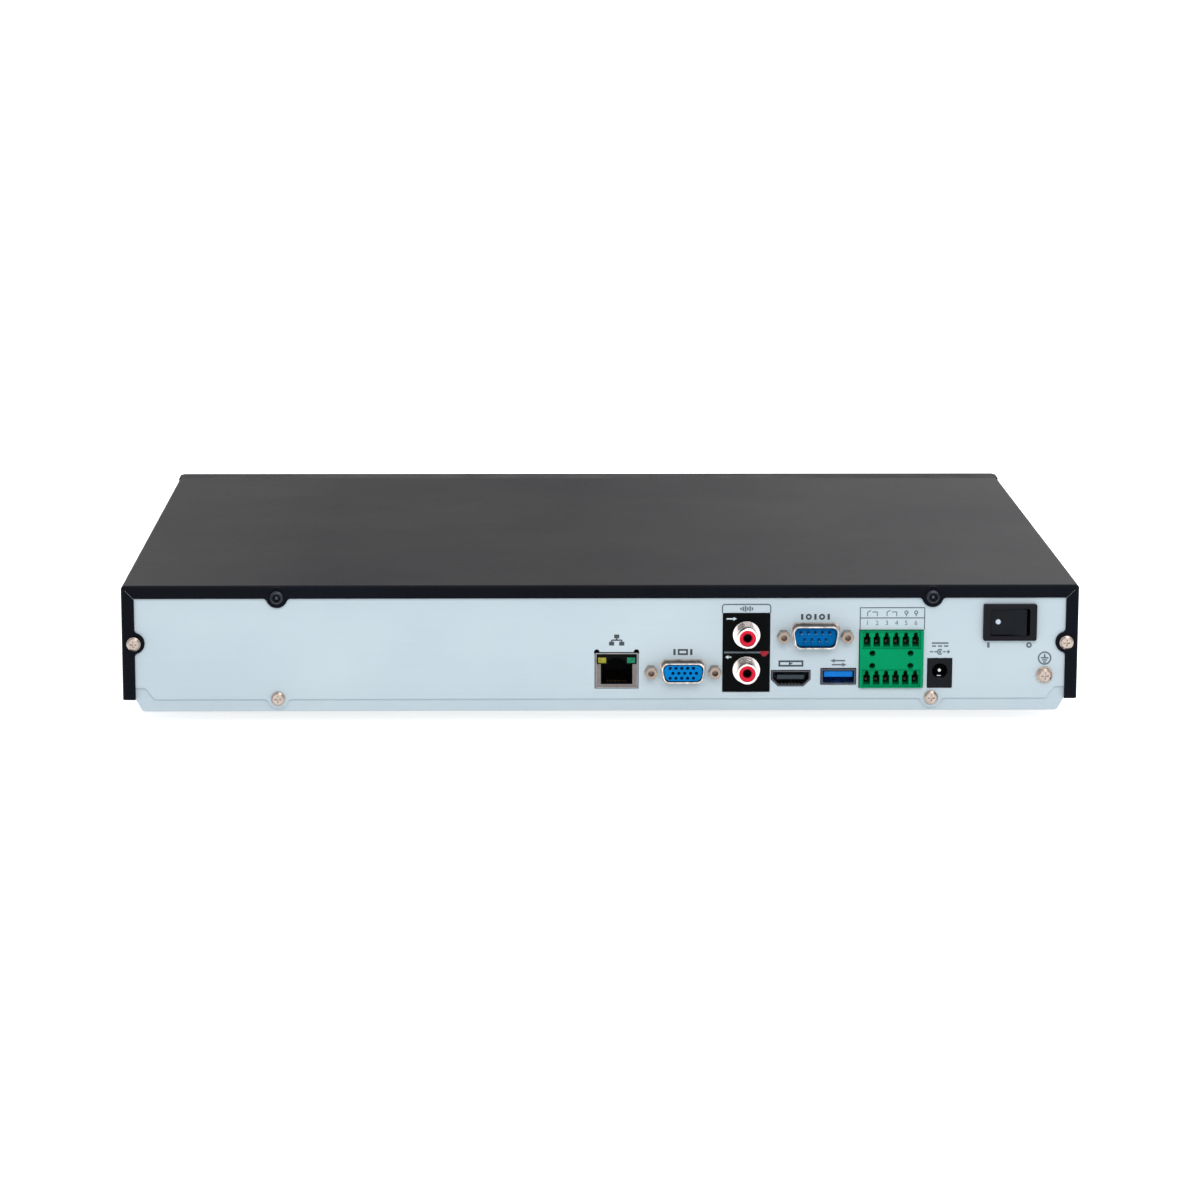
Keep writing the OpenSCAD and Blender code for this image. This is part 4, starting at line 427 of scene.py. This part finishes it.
# How far into an insulator's mouth the shade begins, and where it is black
shade_from, shade_full = 0.0002, 0.0006
dark_red, light_red, bore_code = "#d30c28", "#ea2344", "#0b0507"
red, tree, shader, place = start("signal_red_abs", "#e00f30", 0.3, level=0.15)
deep = add(tree, "ShaderNodeSeparateXYZ", {0: place}).outputs["Y"]
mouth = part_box("audio_insulators")[0].y
bore = add(tree, "ShaderNodeMapRange", {"Value": deep, "From Min": mouth + shade_from,
                                        "From Max": mouth + shade_full})
mottle = add(tree, "ShaderNodeTexNoise", {"Vector": place, "Scale": 500.0, "Detail": 2.0})
skin = add(tree, "ShaderNodeMix", {0: mottle.outputs[0], 6: shade(dark_red), 7: shade(light_red)},
           data_type="RGBA")
tone = add(tree, "ShaderNodeMix", {0: bore.outputs[0], 6: skin.outputs[2], 7: shade(bore_code)},
           data_type="RGBA")
tree.links.new(tone.outputs[2], shader.inputs["Base Color"])
relief(tree, shader, mottle.outputs[0], 0.01, 0.2)
dress(red, "audio_insulators")

# ------------------------------------------------------------------ flat ports
# The video port has a blackened shield round a grey tongue; the data ports have tin-plated shields, painted
# dark with shade, with slightly flared mouths and blue tongues.
dress(plated("blackened_steel", "#54555a", 0.4), "video_port_shell")
dress(moulding("grey_lcp", "#39434a", 0.45, grain=0.5), "video_port_tongue")
dress(moulding("data_blue_lcp", "#0878d2", 0.4, grain=0.6), "data_port_tongues")

# Inside, the polished floor of a data port's shield is tinted as if it mirrored the tongue
floor_code, floor_depth = "#8fb4e6", 0.0055
# The data ports' tin is painted darker than the tin plate elsewhere, as painted shade
shield = plated("shade_darkened_tin_plate", "#474a52", 0.3)
tree = shield.node_tree
shader = tree.nodes["Principled BSDF"]
tint = shader.inputs["Base Color"].links[0].from_socket
place = add(tree, "ShaderNodeTexCoord").outputs["Object"]
normal = add(tree, "ShaderNodeNewGeometry").outputs["True Normal"]
upward = add(tree, "ShaderNodeSeparateXYZ", {0: normal}).outputs["Z"]
floor_up = add(tree, "ShaderNodeMath", {0: upward, 1: 0.7}, operation="GREATER_THAN")
high = add(tree, "ShaderNodeSeparateXYZ", {0: place}).outputs["Z"]
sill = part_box("data_port_shells")[0].z + floor_depth
low_in = add(tree, "ShaderNodeMath", {0: high, 1: sill}, operation="LESS_THAN")
inner = add(tree, "ShaderNodeMath", {0: floor_up.outputs[0], 1: low_in.outputs[0]}, operation="MULTIPLY")
tone = add(tree, "ShaderNodeMix", {0: inner.outputs[0], 6: tint, 7: shade(floor_code)}, data_type="RGBA")
tree.links.new(tone.outputs[2], shader.inputs["Base Color"])
dress(shield, "data_port_shells")


def rows(name, material, slot, at, **sizes):
    """Rows of small parts, made by nodes round the point `at`. `sizes` names the tree's inputs."""
    tree = bpy.data.node_groups.new(name, "GeometryNodeTree")
    tree.interface.new_socket("Geometry", in_out="OUTPUT", socket_type="NodeSocketGeometry")
    values = {"Columns": 4, "Rows": 1, "Column Pitch": 0.001, "Row Pitch": 0.001,
              "Size": (0.001, 0.001, 0.001), "Round": False, "Share": 1.0, "Smallest": 1.0, "Seed": 7,
              "Material": material}
    values.update(sizes)
    kinds = {bool: "Bool", int: "Int", float: "Float", tuple: "Vector"}
    keys = {}
    for key, value in values.items():
        kind = "NodeSocket" + kinds.get(type(value), "Material")
        keys[key] = tree.interface.new_socket(key, in_out="INPUT", socket_type=kind).identifier
    given = add(tree, "NodeGroupInput").outputs
    spans = []
    for count, pitch in (("Columns", "Column Pitch"), ("Rows", "Row Pitch")):
        steps = add(tree, "ShaderNodeMath", {0: given[count], 1: 1.0}, operation="SUBTRACT")
        spans.append(add(tree, "ShaderNodeMath", {0: steps.outputs[0], 1: given[pitch]},
                         operation="MULTIPLY"))
    grid = add(tree, "GeometryNodeMeshGrid", {"Size X": spans[0].outputs[0], "Size Y": spans[1].outputs[0],
                                              "Vertices X": given["Columns"], "Vertices Y": given["Rows"]})
    block = add(tree, "GeometryNodeMeshCube", {"Size": (1, 1, 1)})
    bead = add(tree, "GeometryNodeMeshUVSphere", {"Segments": 10, "Rings": 6, "Radius": 0.5})
    shape = add(tree, "GeometryNodeSwitch", {"Switch": given["Round"], "False": block.outputs["Mesh"],
                                             "True": bead.outputs["Mesh"]}, input_type="GEOMETRY")
    kept = add(tree, "FunctionNodeRandomValue", {"Probability": given["Share"], "Seed": given["Seed"]},
               data_type="BOOLEAN")
    least = add(tree, "ShaderNodeVectorMath", {0: given["Size"], "Scale": given["Smallest"]},
                operation="SCALE")
    size = add(tree, "FunctionNodeRandomValue", {0: least.outputs[0], 1: given["Size"],
                                                 "Seed": given["Seed"]}, data_type="FLOAT_VECTOR")
    set_out = add(tree, "GeometryNodeInstanceOnPoints", {
        "Points": grid.outputs["Mesh"], "Selection": kept.outputs[3], "Instance": shape.outputs[0],
        "Scale": size.outputs[0]})
    whole = add(tree, "GeometryNodeRealizeInstances", {0: set_out.outputs[0]})
    painted = add(tree, "GeometryNodeSetMaterial", {"Geometry": whole.outputs[0],
                                                    "Material": given["Material"]})
    add(tree, "NodeGroupOutput", {0: painted.outputs[0]})
    piece = bpy.data.objects.new(name, bpy.data.meshes.new(name))
    bpy.context.scene.collection.objects.link(piece)
    modifier = piece.modifiers.new(name, "NODES")
    modifier.node_group = tree
    for key, value in values.items():
        modifier[keys[key]] = value
    bpy.context.view_layer.update()
    made = bpy.data.meshes.new_from_object(piece.evaluated_get(bpy.context.evaluated_depsgraph_get()))
    piece.modifiers.remove(modifier)
    made.transform(Matrix.Translation(at))
    made.name = name
    piece.data = made
    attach(piece, "recorder")


# Contacts along both sides of the video port's tongue, and under the rear data port's tongue,
# with their middles a little way in from the tongue's tip
video_in, data_in = 0.0035, 0.005
low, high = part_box("video_port_tongue")
for z, side in ((low.z, "lower"), (high.z, "upper")):
    rows("video_contacts_" + side, tin, "gold_contacts", Vector(((low.x + high.x) / 2, low.y + video_in, z)),
         **{"Columns": 10, "Column Pitch": (high.x - low.x) / 10.5, "Size": (0.0005, 0.006, 0.0003)})
tips = [v.co for v in nodes["data_port_tongues"].data.vertices if v.co.y < 0]
data_x = (min(v.x for v in tips) + max(v.x for v in tips)) / 2
tip_y = min(v.y for v in tips)
under = min(v.z for v in tips if v.y < tip_y + 0.0001)
rows("data_contacts", gold, "gold_contacts", Vector((data_x, tip_y + data_in, under)),
     **{"Columns": 4, "Column Pitch": 0.0023, "Size": (0.001, 0.008, 0.0003)})

# ------------------------------------------------------------------ alarm terminals
# One moulded nylon block with two rows of six mouths, soldered to the board by its pins.
# The skin is satin green, and the tinned pins are painted dark as painted shade, since they stand deep
# inside.
dress(moulding("green_nylon", "#009561", 0.5, grain=0.7, depth=0.025, level=0.04), "alarm_terminal_block")
dress(plated("shade_darkened_tin_pins", "#463c34", 0.5), "alarm_terminal_pins")

# ------------------------------------------------------------------ power jack
# Moulded black PBT body with a fine grain. The turned pin in the middle of its hole and the
# sprung leaf under it are plated with bright nickel.
dress(moulding("black_pbt", "#14171b", 0.45, grain=0.6, level=0.08), "power_jack_body")
dress(plated("bright_pin_nickel", "#b9bcc0", 0.22), "power_jack_pin")

# ------------------------------------------------------------------ power switch
# Snap-in nylon housing with a satin rocker that turns on two pins. A white spot marks the
# side that is pressed in.
dress(moulding("satin_black_nylon", "#18171d", 0.42, grain=0.9, depth=0.02, level=0.08), "switch_housing")
dress(moulding("rocker_black_nylon", "#14171c", 0.36, grain=1.2, depth=0.015, level=0.08), "switch_rocker")
dress(tin, "switch_terminals")

# ------------------------------------------------------------------ main board
# Glass-fibre laminate under green solder mask, with black moulded chips, a bare extruded
# heat sink, sleeved capacitors and a steel coin cell.
def laminate(name, code, track_code):
    """Solder mask over copper: tracks 2.5 mm apart show through as paler lines."""
    material, tree, shader, place = start(name, code, 0.32, level=0.5)
    track = add(tree, "ShaderNodeTexBrick", {
        "Vector": place, "Scale": 1.0, "Mortar Size": 0.00035, "Brick Width": 0.011, "Row Height": 0.0025,
        "Color1": shade(code), "Color2": shade(code), "Mortar": shade(track_code)})
    tree.links.new(track.outputs["Color"], shader.inputs["Base Color"])
    relief(tree, shader, track.outputs["Fac"], 0.03, 0.2)
    return material


dress(laminate("green_solder_mask", "#16492f", "#2c7a50"), "main_board", "front_board")
chip_epoxy = moulding("chip_epoxy", "#17181a", 0.6, grain=0.4)
dress(chip_epoxy, "processor_chip", "memory_chips")

# Small parts in rows on the board's free places: the middle of each group from the board's
# corner, its columns and rows, their pitches, the size of a part, and the share that is fitted
low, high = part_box("main_board")
ceramic = moulding("chip_ceramic", "#8a7a63", 0.45, grain=0.4)
solder = plated("bright_solder", "#b9bcc0", 0.25)
for name, material, x, y, columns, lines, pitch, size, share in (
        ("resistors_left", ceramic, 0.019, 0.058, 8, 10, (0.0032, 0.0028), (0.0016, 0.0009, 0.0006), 0.6),
        ("resistors_middle", ceramic, 0.084, 0.102, 16, 6, (0.0036, 0.003), (0.0018, 0.001, 0.0007), 0.55),
        ("resistors_right", ceramic, 0.128, 0.088, 11, 8, (0.0034, 0.0028), (0.0016, 0.0009, 0.0006), 0.6),
        ("drivers", chip_epoxy, 0.070, 0.032, 3, 1, (0.016, 0.01), (0.009, 0.006, 0.003), 1.0),
        ("regulators", chip_epoxy, 0.105, 0.125, 2, 2, (0.014, 0.012), (0.0065, 0.006, 0.003), 1.0)):
    rows("board_" + name, material, "black_moulding", Vector((low.x + x, low.y + y, high.z)),
         **{"Columns": columns, "Rows": lines, "Column Pitch": pitch[0], "Row Pitch": pitch[1], "Size": size,
            "Share": share, "Smallest": 0.8})

# Solder beads of the sockets' pins under the board, a fixed way in from its rear edge
solder_in = 0.012
for socket, columns, lines, pitch in (
        ("network_jack_shell", 8, 2, (0.00127, 0.0025)), ("monitor_port_shell", 8, 2, (0.00229, 0.0025)),
        ("audio_jack_housing", 2, 2, (0.006, 0.005)), ("video_port_shell", 10, 2, (0.001, 0.002)),
        ("alarm_terminal_block", 6, 2, (0.00381, 0.004)), ("power_jack_body", 2, 2, (0.004, 0.003))):
    corner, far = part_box(socket)
    under = Vector(((corner.x + far.x) / 2, low.y + solder_in, low.z))
    rows("solder_" + socket, solder, "nickel_fixings", under,
         **{"Columns": columns, "Rows": lines, "Column Pitch": pitch[0], "Row Pitch": pitch[1],
            "Size": (0.0009, 0.0009, 0.0012), "Round": True, "Smallest": 0.9})

fins, tree, shader, place = start("extruded_aluminium", "#aeb1b4", 0.34, metallic=1.0)
drawn = add(tree, "ShaderNodeMapping", {"Vector": place, "Scale": (2600.0, 40.0, 2600.0)})
line = add(tree, "ShaderNodeTexNoise", {"Vector": drawn.outputs[0], "Scale": 1.0, "Detail": 2.0})
gloss = add(tree, "ShaderNodeMapRange", {"Value": line.outputs[0], "From Min": 0.3, "From Max": 0.7,
                                         "To Min": 0.26, "To Max": 0.46})
tree.links.new(gloss.outputs[0], shader.inputs["Roughness"])
relief(tree, shader, line.outputs[0], 0.01, 0.15)
dress(fins, "heat_sink")

sleeve_code, can_code, can_rim = "#2b2e37", "#b8babd", 0.0003
sleeve, tree, shader, place = start("capacitor_sleeve", sleeve_code, 0.3)
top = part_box("board_capacitors")[1].z
high = add(tree, "ShaderNodeSeparateXYZ", {0: place}).outputs["Z"]
cap = add(tree, "ShaderNodeMath", {0: high, 1: top - can_rim}, operation="GREATER_THAN")
tone = add(tree, "ShaderNodeMix", {0: cap.outputs[0], 6: shade(sleeve_code), 7: shade(can_code)},
           data_type="RGBA")
tree.links.new(tone.outputs[2], shader.inputs["Base Color"])
fine = add(tree, "ShaderNodeTexNoise", {"Vector": place, "Scale": 800.0})
relief(tree, shader, fine.outputs[0], 0.01, 0.2)
dress(sleeve, "board_capacitors")
dress(tin, "clock_battery")
dress(black_nylon, "drive_sockets")

# ------------------------------------------------------------------ drives
# Die-cast aluminium bodies with a dull cast skin, pressed stainless lids brushed along
# their length, and blue circuit boards underneath. The brushed lines are drawn half a
# millimetre apart, coarser than real ones, so that they show.
cast, tree, shader, place = start("die_cast_aluminium", "#8b8e92", 0.55, metallic=1.0)
skin = add(tree, "ShaderNodeTexNoise", {"Vector": place, "Scale": 900.0, "Detail": 4.0})
flow = add(tree, "ShaderNodeTexNoise", {"Vector": place, "Scale": 40.0, "Detail": 2.0})
gloss = add(tree, "ShaderNodeMapRange", {"Value": flow.outputs[0], "From Min": 0.3, "From Max": 0.7,
                                         "To Min": 0.46, "To Max": 0.62})
tree.links.new(gloss.outputs[0], shader.inputs["Roughness"])
relief(tree, shader, skin.outputs[0], 0.04, 0.3)
dress(cast, "drive_casting_rear", "drive_casting_front")

lid, tree, shader, place = start("brushed_stainless_lid", "#c6c8ca", 0.3, metallic=1.0)
drawn = add(tree, "ShaderNodeMapping", {"Vector": place, "Scale": (30.0, 2200.0, 2200.0)})
line = add(tree, "ShaderNodeTexNoise", {"Vector": drawn.outputs[0], "Scale": 1.0, "Detail": 3.0})
gloss = add(tree, "ShaderNodeMapRange", {"Value": line.outputs[0], "From Min": 0.3, "From Max": 0.7,
                                         "To Min": 0.22, "To Max": 0.42})
tree.links.new(gloss.outputs[0], shader.inputs["Roughness"])
relief(tree, shader, line.outputs[0], 0.008, 0.3)
dress(lid, "drive_lid_rear", "drive_lid_front")
dress(laminate("blue_solder_mask", "#173c55", "#2a6286"), "drive_boards")

# ------------------------------------------------------------------ leads
# Flexible leads with extruded PVC jackets, soft in sheen: red between board and drives,
# black on the switch's wires, grey to the front board.
dress(moulding("red_pvc_jacket", "#a5302a", 0.45, grain=1.5), "drive_cables")
dress(moulding("black_pvc_jacket", "#1a1a1e", 0.45, grain=1.5), "switch_wires")
dress(moulding("grey_pvc_jacket", "#858a91", 0.45, grain=1.5), "front_board_cable")

# ------------------------------------------------------------------ prints on the panel
# Screen-printed signs in epoxy ink, a few hundredths of a millimetre thick: pictograms beside
# the sockets, numbers over the terminals, a bar and a ring under the switch. Their places are
# reckoned in mm from the boxes of the CAD nodes.
mm = 0.001
# How far the back of a print lies under the face, and by how much more each next shape stands out
sunk, step = 0.01, 0.003
ink = {}


def plate(colour, points, depth, thick=0.05):
    """Adds a thin printed shape to the mesh of one ink. Points are x and z in mm, depth is the face's y."""
    if colour not in ink:
        ink[colour] = bmesh.new()
    mesh = ink[colour]
    # Ink lies thicker where strokes cross, so no two of them share a face
    thick += step * (len(mesh.verts) % 7)
    area = sum(a[0] * b[1] - b[0] * a[1] for a, b in zip(points, points[1:] + points[:1]))
    points = points if area > 0 else points[::-1]
    front = [mesh.verts.new((x * mm, depth - thick * mm, z * mm)) for x, z in points]
    back = [mesh.verts.new((x * mm, depth + sunk * mm, z * mm)) for x, z in points]
    mesh.faces.new(front)
    mesh.faces.new(back[::-1])
    for i in range(len(points)):
        j = (i + 1) % len(points)
        mesh.faces.new((front[j], front[i], back[i], back[j]))


def stroke(colour, x0, z0, x1, z1, width, depth):
    """Straight line of the given width from one point to another."""
    run = math.hypot(x1 - x0, z1 - z0)
    nx, nz = (z1 - z0) / run * width / 2, (x0 - x1) / run * width / 2
    plate(colour, [(x0 + nx, z0 + nz), (x0 - nx, z0 - nz), (x1 - nx, z1 - nz), (x1 + nx, z1 + nz)], depth)


def ring(colour, x, z, radius, width, depth, begin=0.0, turn=360.0, steps=28):
    """Ring, or the part of one that turns on from the angle `begin`, drawn inwards from its radius."""
    for i in range(steps):
        a, b = (math.radians(begin + turn * k / steps) for k in (i, i + 1))
        plate(colour, [(x + r * math.cos(t), z + r * math.sin(t)) for r, t in (
            (radius, a), (radius, b), (radius - width, b), (radius - width, a))], depth)


def block(colour, x, z, w, h, depth):
    """Rectangle of the given width and height round its middle."""
    plate(colour, [(x - w / 2, z - h / 2), (x + w / 2, z - h / 2), (x + w / 2, z + h / 2),
                   (x - w / 2, z + h / 2)], depth)


def middle(name):
    """Middle of a CAD node in x and z, and its top, in mm."""
    low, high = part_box(name)
    return (low.x + high.x) / 2 / mm, (low.z + high.z) / 2 / mm, high.z / mm


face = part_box("rear_panel")[0].y


def stations(colour, x, z, size, depth):
    """Three stations on one line, the sign of a network, centred on the line."""
    for dx, dz in ((0, 1.5), (-2.0, -1.4), (2.0, -1.4)):
        block(colour, x + dx * size, z + dz * size, 2.0 * size, 1.5 * size, depth)
        stroke(colour, x + dx * size, z, x + dx * size, z + dz * size * 0.6, 0.55 * size, depth)
    stroke(colour, x - 2.0 * size, z, x + 2.0 * size, z, 0.55 * size, depth)


def two_way(colour, x, z, size, depth):
    """Arrows to both sides, the sign of a data port."""
    for s in (-1, 1):
        high = z + 0.8 * s * size
        stroke(colour, x - s * 1.6 * size, high, x + s * 2.6 * size, high, 0.6 * size, depth)
        plate(colour, [(x - s * 3.2 * size, high), (x - s * 1.5 * size, high + 0.8 * size),
                       (x - s * 1.5 * size, high - 0.8 * size)], depth)


# network: three stations on one line
x, _, z = middle("network_jack_shell")
stations("black", x, z + 5.1, 1.0, face)


def outline(colour, x, z, w, h, width, depth):
    """Rectangle drawn with four strokes of the given width."""
    for s in (-1, 1):
        block(colour, x, z + s * (h - width) / 2, w, width, depth)
        block(colour, x + s * (w - width) / 2, z, width, h - 2 * width, depth)


# monitor: a screen between two bars
x, z, _ = middle("monitor_port_shell")
outline("black", x, z + 7.6, 4.0, 2.4, 0.7, face)
for s in (-1, 1):
    block("black", x + s * 3.3, z + 7.6, 0.9, 2.4, face)

# serial: a train of bars and rings
x, z, _ = middle("serial_port_shell")
for i in range(-2, 3):
    if i % 2:
        ring("black", x + 2.6 * i, z + 7.5, 1.2, 0.7, face, steps=20)
    else:
        block("black", x + 2.6 * i, z + 7.5, 0.9, 2.3, face)

# video: a wide screen with a play mark
x, _, z = middle("video_port_shell")
outline("black", x, z + 2.9, 9.8, 2.5, 0.7, face)
plate("black", [(x - 0.8, z + 2.3), (x - 0.8, z + 3.5), (x + 0.9, z + 2.9)], face)

# data: arrows to both sides, a little higher than the video port's sign
two_way("grey", data_x / mm, z + 3.2, 1.0, face)

# audio: a rounded grey frame over the housing with a train of bars, a white arrow for each
# socket, and a grey line with a red tab where one socket ends and the other begins
low, high = (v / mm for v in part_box("audio_jack_housing"))
z0, z1, r = high.z + 0.2, high.z + 3.7, 1.0
left, far = low.x - 0.45, high.x + 0.35
for x in (left, far):
    stroke("grey", x, z0, x, z1 - r, 0.5, face)
stroke("grey", left + r, z1, far - r, z1, 0.5, face)
ring("grey", left + r, z1 - r, r + 0.25, 0.5, face, begin=90, turn=90, steps=8)
ring("grey", far - r, z1 - r, r + 0.25, 0.5, face, begin=0, turn=90, steps=8)
x = (low.x + high.x) / 2
for i, h in enumerate((0.9, 1.7, 2.3, 1.3, 2.0, 1.1)):
    block("grey", x - 2.25 + 0.9 * i, z0 + 1.75, 0.6, h, face)
housing_y = low.y * mm
seam = low.z + 15.7
block("grey", x, seam, high.x - low.x - 0.6, 0.7, housing_y)
plate("red", [(x + 5.4, seam + 0.5), (x + 8.6, seam + 0.5), (x + 8.6, seam - 0.4), (x + 7.5, seam - 1.6),
              (x + 6.5, seam - 1.6), (x + 5.4, seam - 0.4)], housing_y, thick=0.08)
for z, tail, tip in ((high.z - 1.95, low.x + 1.2, low.x + 5.2), (seam - 1.9, low.x + 3.2, low.x + 0.7)):
    way = math.copysign(1.3, tip - tail)
    stroke("white", tail, z, tip - way * 0.8, z, 0.55, housing_y)
    plate("white", [(tip, z), (tip - way, z + 0.75), (tip - way, z - 0.75)], housing_y)

# terminals: a ruled table, contact signs above and numbers below
low, high = (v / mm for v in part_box("alarm_terminal_block"))
z0, z2, rule = high.z + 0.9, high.z + 9.1, 0.4
z1 = (z0 + z2) / 2
for z in (z1, z2):
    stroke("grey", low.x - 0.2, z, high.x + 0.7, z, rule, face)
for x in (low.x, high.x + 0.5):
    stroke("grey", x, z0 - 0.6, x, z2, rule, face)
pitch_x, line = 3.81, 0.35
middle_x = (low.x + high.x) / 2
for i in range(6):
    x = middle_x + (i - 2.5) * pitch_x
    if i > 3:
        ring("grey", x, z1 + 2.2, 0.8, rule, face, steps=18)
        stroke("grey", x, z1 + 0.7, x, z1 + 1.5, rule, face)
        continue
    stroke("grey", x, z1 + 0.7, x, z1 + 2.4, line, face)
    if i % 2 == 0:
        stroke("grey", x, z1 + 2.3, x + 1.3, z1 + 3.1, line, face)
        stroke("grey", x + 1.9, z1 + 2.4, x + pitch_x, z1 + 2.4, line, face)


def number(text, x, z, height, depth):
    """Raises a printed numeral from the plain built-in face and adds it to the grey ink."""
    curve = bpy.data.curves.new("numeral", "FONT")
    curve.body, curve.size, curve.align_x, curve.align_y = text, height * mm * 1.4, "CENTER", "CENTER"
    curve.extrude, curve.resolution_u = 0.03 * mm, 3
    made = bpy.data.objects.new("numeral", curve)
    bpy.context.scene.collection.objects.link(made)
    bpy.context.view_layer.update()
    mesh = bpy.data.meshes.new_from_object(made.evaluated_get(bpy.context.evaluated_depsgraph_get()))
    place = Matrix.Translation((x * mm, depth - 0.02 * mm, z * mm))
    mesh.transform(place @ Matrix.Rotation(math.pi / 2, 4, "X"))
    ink["grey"].from_mesh(mesh)
    bpy.data.objects.remove(made)
    bpy.data.curves.remove(curve)
    bpy.data.meshes.remove(mesh)


for i in range(6):
    number(str(i + 1), middle_x + (i - 2.5) * pitch_x, (z0 + z1) / 2, 1.9, face)

# power: direct-current sign, and a pin inside its sleeve with plus and minus
x, _, z = middle("power_jack_body")
block("grey", x, z + 6.3, 6.6, 0.6, face)
for dx in (-2.4, 0, 2.4):
    block("grey", x + dx, z + 5.1, 1.6, 0.6, face)
ring("grey", x, z + 2.8, 1.2, 0.5, face, begin=40, turn=280, steps=18)
ring("grey", x, z + 2.8, 0.45, 0.45, face, steps=12)
for s in (-1, 1):
    stroke("grey", x + s * 1.2, z + 2.8, x + s * 2.2, z + 2.8, 0.5, face)
    block("grey", x + s * 3.3, z + 2.8, 1.3, 0.5, face)
block("grey", x + 3.3, z + 2.8, 0.5, 1.3, face)

# switch: bar for on, ring for off, and a white spot on the side of the rocker that is pressed.
# The rocker's face stands out from its pivot, which is behind the panel, and rests tilted.
low, high = (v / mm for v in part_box("switch_housing"))
x = (low.x + high.x) / 2
block("grey", x - 8.2, low.z - 2.1, 1.0, 2.0, face)
ring("grey", x + 7.8, low.z - 2.1, 1.15, 0.7, face, steps=24)
pivot_in, face_out, tilt = 0.003, 0.0036, math.radians(8)
spot = face + pivot_in - face_out * math.cos(tilt)
ring("spot", x - 4.6, (low.z + high.z) / 2 + 0.1, 1.0, 1.0, spot)

# earth: the sign in its ring
x, _, _ = middle("ground_screw")
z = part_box("ground_screw")[0].z / mm + 9.6
ring("grey", x, z, 2.7, 0.6, face, steps=36)
block("grey", x, z + 0.9, 0.6, 1.5, face)
for w, dz in ((3.0, 0.1), (2.0, -0.75), (1.0, -1.6)):
    block("grey", x, z + dz, w, 0.55, face)

# front: signs for power, drive and network over the window, arrows over the data port. The
# ink stands out of a face that looks the other way, so its depth is that much further out.
low, high = (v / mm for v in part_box("status_window"))
front, z = (high.y + 0.04) * mm, high.z + 3.4
x, apart = (low.x + high.x) / 2, 12.0
for dx in (-apart, 0.0, apart):
    ring("pale", x + dx, high.z - 2.5, 0.9, 0.3, front, steps=20)
ring("pale", x - apart, z, 1.5, 0.4, front, begin=130, turn=280)
stroke("pale", x - apart, z + 0.2, x - apart, z + 1.9, 0.4, front)
ring("pale", x, z, 1.6, 0.4, front)
ring("pale", x, z, 0.5, 0.5, front, steps=16)
stations("pale", x + apart, z, 0.75, front)
port = [v.co.x / mm for v in nodes["data_port_tongues"].data.vertices if v.co.y > 0]
two_way("pale", (min(port) + max(port)) / 2, z + 1.2, 0.8, front)

# Each ink: its colour, a slot name of the record, and the body that carries it
prints = {"black": ("#3f464d", "black_moulding", "recorder"), "grey": ("#636d76", "grey_lead", "recorder"),
          "white": ("#cfdde4", "zinc_steel", "recorder"), "red": ("#9c1428", "red_moulding", "recorder"),
          "spot": ("#c6d6e6", "zinc_steel", "rocker"), "pale": ("#8d959d", "zinc_steel", "recorder")}
for colour, (code, slot, body) in prints.items():
    mesh = bpy.data.meshes.new("print_" + colour)
    ink[colour].to_mesh(mesh)
    ink[colour].free()
    piece = bpy.data.objects.new("print_" + colour, mesh)
    bpy.context.scene.collection.objects.link(piece)
    # Epoxy ink from a fine mesh: matt, a little uneven where it is thin
    screen, tree, shader, place = start(colour + "_epoxy_ink", code, 0.6, level=0.3)
    thin = add(tree, "ShaderNodeTexNoise", {"Vector": place, "Scale": 900.0, "Detail": 2.0})
    dim = add(tree, "ShaderNodeMapRange", {"Value": thin.outputs[0], "From Min": 0.3, "From Max": 0.7,
                                           "To Min": 0.8, "To Max": 1.15})
    tint = add(tree, "ShaderNodeVectorMath", {0: shade(code)[:3], "Scale": dim.outputs[0]}, operation="SCALE")
    tree.links.new(tint.outputs[0], shader.inputs["Base Color"])
    mesh.materials.append(screen)
    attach(piece, body)
